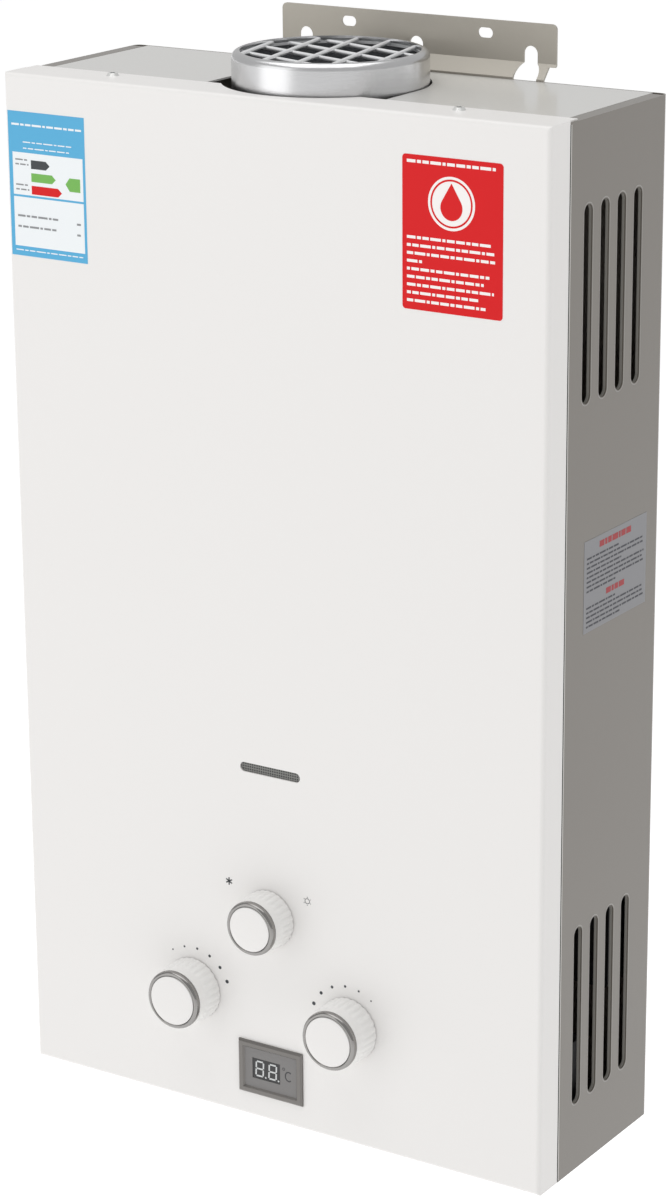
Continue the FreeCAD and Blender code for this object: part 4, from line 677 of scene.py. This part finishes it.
def add_knob_caps():
    """Slightly domed discs inside the bright rings."""
    for name, x, z, ring, front in knob_places():
        seat, rear = ring - CAP_GAP, front + CAP_REAR
        profile = [(CENTRE_RADIUS, rear), (seat - 0.1, rear), (seat - 0.1, front + 0.25)]
        for k in range(CAP_STEPS + 1):
            share = 1.0 - k / CAP_STEPS
            radius = max((seat - 0.4) * share, CENTRE_RADIUS)
            profile.append((radius, front + 0.1 - CAP_DOME * (1 - share * share)))
        made = lathe(
            name + "_disc", profile, point(x, 0.0, z), "Y", "knob_disc", name + "_knob",
        )
        sharpen(made)
        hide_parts(name + "_knob_cap")


def knob_places():
    """Body, centre, outer radius of the bright ring, and front of each knob."""
    return (
        ("gas", PANEL_X - KNOB_SPREAD, KNOB_Z, KNOB_RING, FRONT_Y - KNOB_DEPTH),
        ("water", PANEL_X + KNOB_SPREAD, KNOB_Z, KNOB_RING, FRONT_Y - KNOB_DEPTH),
        ("season", PANEL_X, SEASON_Z, SEASON_RING, FRONT_Y - SEASON_DEPTH),
    )


def add_scales():
    """Six dots over each lower knob, one scale the other's mirror image."""
    dots = Flat(on_front)
    for side, first, last, start, end in DIAL_SCALES:
        x = PANEL_X + side * KNOB_SPREAD
        for k in range(SCALE_DOTS):
            share = k / (SCALE_DOTS - 1)
            angle = math.radians(first + (last - first) * share)
            dots.disc(
                x + DOT_CIRCLE * math.cos(angle), KNOB_Z + DOT_CIRCLE * math.sin(angle),
                start + (end - start) * share,
            )
    dots.make("scale_dots", "dark")


def add_season_marks():
    """A frost star and a sun ring beside the upper knob."""
    marks = Flat(on_front)
    u, v = STAR_PLACE
    for k in range(3):
        angle = math.radians(90 + 60 * k)
        du, dv = STAR_REACH * math.cos(angle), STAR_REACH * math.sin(angle)
        marks.stroke((u - du, v - dv), (u + du, v + dv), STAR_WIDTH)
    u, v = SUN_PLACE
    near, far = SUN_RAYS
    marks.loop(u, v, SUN_RADIUS, SUN_WIDTH)
    for k in range(6):
        angle = math.radians(30 + 60 * k)
        du, dv = math.cos(angle), math.sin(angle)
        marks.stroke((u + near * du, v + near * dv), (u + far * du, v + far * dv), SUN_WIDTH)
    marks.make("season_marks", "dark")


SEGMENTS = {
    "a": ((0.0, 1.0), (1.0, 1.0)),
    "b": ((1.0, 1.0), (1.0, 0.5)),
    "c": ((1.0, 0.5), (1.0, 0.0)),
    "d": ((0.0, 0.0), (1.0, 0.0)),
    "e": ((0.0, 0.5), (0.0, 0.0)),
    "f": ((0.0, 1.0), (0.0, 0.5)),
    "g": ((0.0, 0.5), (1.0, 0.5)),
}


def add_digits():
    """Two unlit digits behind the dark glass, and a degree mark beside it."""
    digits = Flat(on_front)
    width, height = DIGIT_SIZE
    slant = DIGIT_SLANT
    for x in DIGIT_X:
        low = DIGIT_Z - height / 2
        for start, end in SEGMENTS.values():
            a = Vector((x + start[0] * width + start[1] * slant, low + start[1] * height))
            b = Vector((x + end[0] * width + end[1] * slant, low + end[1] * height))
            inset = (b - a).normalized() * DIGIT_INSET
            digits.stroke(a + inset, b - inset, DIGIT_STROKE, PRINT_DEPTH, -GLASS_LEVEL)
    for x in POINT_X:
        digits.disc(x, POINT_Z, POINT_RADIUS, PRINT_DEPTH, -GLASS_LEVEL, 12)
    digits.make("display_digits", "digit")
    mark = Flat(on_front)
    mark.loop(*DEGREE_PLACE, DEGREE_RADIUS, SUN_WIDTH, PRINT_DEPTH, -FACE_LEVEL, 16)
    u, v = CELSIUS_PLACE
    tall, wide = CELSIUS_RADIUS, CELSIUS_RADIUS * CELSIUS_SQUEEZE
    for k in range(CELSIUS_STEPS):
        a = math.radians(CELSIUS_START + CELSIUS_STEP * k)
        b = math.radians(CELSIUS_START + CELSIUS_STEP * (k + 1))
        mark.stroke(
            (u + wide * math.cos(a), v + tall * math.sin(a)),
            (u + wide * math.cos(b), v + tall * math.sin(b)), CELSIUS_STROKE, PRINT_DEPTH, -FACE_LEVEL,
        )
    mark.make("degree_mark", "mark")


def rows_of_words(flat, left, right, top, pitch, height, ends, level):
    """Broken plain lines where a label has its text."""
    for k, share in enumerate(ends):
        v = top - k * pitch
        end = left + (right - left) * share
        u = left
        turn = k
        while u < end - 1.0:
            stop = min(u + WORD_LENGTHS[turn % len(WORD_LENGTHS)], end)
            flat.bar(u, stop, v - height, v, PRINT_DEPTH, level)
            u = stop + WORD_GAP
            turn += 1


def add_rows(flat, left, rows, level):
    for start, stop, top, pitch, height, ends in rows:
        rows_of_words(flat, left + start, left + stop, top, pitch, height, ends, level)


def add_left_label():
    """A blue card with white fields and plain coloured bars."""
    left, right, low, high = LEFT_CARD
    base = Flat(on_front)
    base.bar(left, right, low, high, CARD_DEPTH)
    base.make("left_card", "blue")
    fields = Flat(on_front)
    for foot, head in LEFT_FIELDS:
        fields.bar(left + 2.6, right - 1.6, foot, head, PRINT_DEPTH, CARD_DEPTH)
    add_rows(fields, left, LEFT_FIELD_ROWS, CARD_DEPTH)
    fields.make("left_card_fields", "card")
    level = CARD_DEPTH + PRINT_DEPTH
    words = Flat(on_front)
    add_rows(words, left, LEFT_LINE_ROWS, level)
    words.make("left_card_lines", "grey")
    half, tip = ARROW_HALF, ARROW_POINT
    for finish, v, reach in ARROWS:
        arrow = Flat(on_front)
        u0, u1 = left + ARROW_START, left + reach
        corners = [(u0, v), (u1, v), (u1 + tip, v + half), (u1, v + 2 * half), (u0, v + 2 * half)]
        arrow.outline(corners, PRINT_DEPTH, level)
        arrow.make("left_card_step_" + finish, finish)
    tag = Flat(on_front)
    corners = [(right + u, v) for u, v in TAG]
    tag.outline(corners, PRINT_DEPTH, level)
    tag.make("left_card_tag", "green")


def rounded(left, right, low, high, radius):
    """The outline of a card with round corners."""
    corners = arc((right - radius, high - radius), radius, 0, 90, 6)
    corners += arc((left + radius, high - radius), radius, 90, 180, 6)
    corners += arc((left + radius, low + radius), radius, 180, 270, 6)
    corners += arc((right - radius, low + radius), radius, 270, 360, 6)
    return corners


def add_right_label():
    """A red card with a white disc, a plain drop and plain lines."""
    left, right, low, high = RIGHT_CARD
    base = Flat(on_front)
    base.outline(rounded(left, right, low, high, CARD_CORNER), CARD_DEPTH)
    base.make("right_card", "red")
    prints = Flat(on_front)
    u, v = (left + right) / 2 - 0.5, DISC_Z
    prints.disc(u, v, DISC_RADIUS, PRINT_DEPTH, CARD_DEPTH, 48)
    add_rows(prints, left, RIGHT_ROWS, CARD_DEPTH)
    prints.make("right_card_prints", "white")
    level = CARD_DEPTH + PRINT_DEPTH
    drop = Flat(on_front)
    corners = arc((u, v - DROP_SINK), DROP_RADIUS, -210, 30, 20)
    drop.outline(corners + [(u, v + DROP_TIP)], PRINT_DEPTH, level)
    drop.loop(u, v, RING_RADIUS, RING_WIDTH, PRINT_DEPTH, level, 48)
    drop.make("right_card_drop", "red")


def add_side_label():
    """A pale card of plain lines on the right wall."""
    front, rear, low, high = SIDE_CARD
    base = Flat(on_side)
    base.bar(front, rear, low, high, CARD_DEPTH)
    base.make("side_card", "card_grey")
    lines = Flat(on_side)
    add_rows(lines, front, SIDE_LINE_ROWS, CARD_DEPTH)
    lines.make("side_card_lines", "line")
    heads = Flat(on_side)
    add_rows(heads, front, SIDE_HEAD_ROWS, CARD_DEPTH)
    heads.make("side_card_heads", "red_soft")


def add_seams():
    """Painted shade in the gap between the cover's side returns and the casing, and a pale strip of
    painted highlight along the casing's edge.
    """
    gap = FRONT_Y + COVER_RETURN
    highlight_start = gap + SEAM_WIDTH
    for name, side in (("right", 1), ("left", -1)):
        def on_wall(u, v, lift):
            return point(side * (CASE_HALF_WIDTH + lift), u, v)

        seam = Flat(on_wall)
        seam.bar(gap - SEAM_OVERLAP, highlight_start, SEAM_FOOT, SEAM_HEAD, SEAM_STRIP_DEPTH)
        seam.make("seam_" + name, "shade")
        edge = Flat(on_wall)
        edge.bar(highlight_start, highlight_start + EDGE_HIGHLIGHT_WIDTH, SEAM_FOOT, SEAM_HEAD, SEAM_STRIP_DEPTH)
        edge.make("case_edge_painted_highlight_" + name, "edge")


def add_screw_slots():
    """Dark crosses on the cover screws: painted shade standing in for their crossed recesses."""
    def on_top(u, v, lift):
        return point(u, v, CASE_HEIGHT + SCREW_LIFT + lift)

    slots = Flat(on_top)
    y = SCREW_Y
    reach, half = SCREW_SLOT_REACH, SCREW_SLOT_HALF
    for x in SCREW_X:
        slots.bar(x - reach, x + reach, y - half, y + half, SCREW_SLOT_DEPTH)
        slots.bar(x - half, x + half, y - reach, y + reach, SCREW_SLOT_DEPTH)
    slots.make("screw_recess_shade", "dark")


def add_floor():
    size = FLOOR_HALF
    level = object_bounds()[0][2] - FLOOR_DROP
    mesh = bpy.data.meshes.new("floor")
    mesh.from_pydata(
        [(-size, -size, level), (size, -size, level), (size, size, level), (-size, size, level)],
        [], [(0, 1, 2, 3)],
    )
    pale = paint("floor_pale", (246, 246, 246), 0.9, 0.0, 0.0, 0.1)
    shader = pale.node_tree.nodes["Principled BSDF"]
    shader.inputs["Emission Color"].default_value = (1.0, 1.0, 1.0, 1.0)
    shader.inputs["Emission Strength"].default_value = FLOOR_GLOW
    mesh.materials.append(pale)
    floor = bpy.data.objects.new("floor", mesh)
    bpy.context.scene.collection.objects.link(floor)


def area_light(name, place, target, size, power, colour=(1.0, 1.0, 1.0)):
    data = bpy.data.lights.new(name, "AREA")
    data.shape = "RECTANGLE"
    data.size, data.size_y = size
    data.energy = power
    data.color = colour
    lamp = bpy.data.objects.new(name, data)
    lamp.location = place
    lamp.rotation_euler = (Vector(target) - Vector(place)).to_track_quat("-Z", "Y").to_euler()
    bpy.context.scene.collection.objects.link(lamp)


def add_lights():
    centre = (0.0, -0.07, -0.30)
    area_light("front_soft", (-1.6, -2.4, 0.5), centre, (2.2, 2.2), 13.5)
    area_light("top_soft", (-0.2, -0.2, 2.0), centre, (2.4, 2.4), 27.0)
    world = bpy.data.worlds.new("studio")
    world.use_nodes = True
    background = world.node_tree.nodes["Background"]
    background.inputs["Color"].default_value = (1.0, 1.0, 1.0, 1.0)
    background.inputs["Strength"].default_value = 0.55
    bpy.context.scene.world = world
    bpy.context.scene.view_settings.view_transform = "Standard"


def add_camera():
    data = bpy.data.cameras.new("camera")
    data.lens = CAMERA_LENS
    data.sensor_width = SENSOR_WIDTH
    data.clip_start = 0.05
    data.clip_end = 50.0
    camera = bpy.data.objects.new("camera", data)
    back = (CAMERA_PLACE - CAMERA_TARGET).normalized()
    right = Vector((0, 0, 1)).cross(back).normalized()
    up = back.cross(right)
    roll = math.radians(CAMERA_ROLL)
    across = right * math.cos(roll) + up * math.sin(roll)
    rise = up * math.cos(roll) - right * math.sin(roll)
    turn = Matrix((across, rise, back)).transposed().to_4x4()
    camera.matrix_world = Matrix.Translation(CAMERA_PLACE) @ turn
    bpy.context.scene.collection.objects.link(camera)
    bpy.context.scene.camera = camera


add_camera()
dress_nodes()
add_collar()
add_vent_rims()
add_grille()
add_knob_bodies()
add_knob_rings()
add_knob_caps()
add_seams()
add_scales()
add_season_marks()
add_digits()
add_left_label()
add_right_label()
add_side_label()
add_screw_slots()
add_floor()
add_lights()
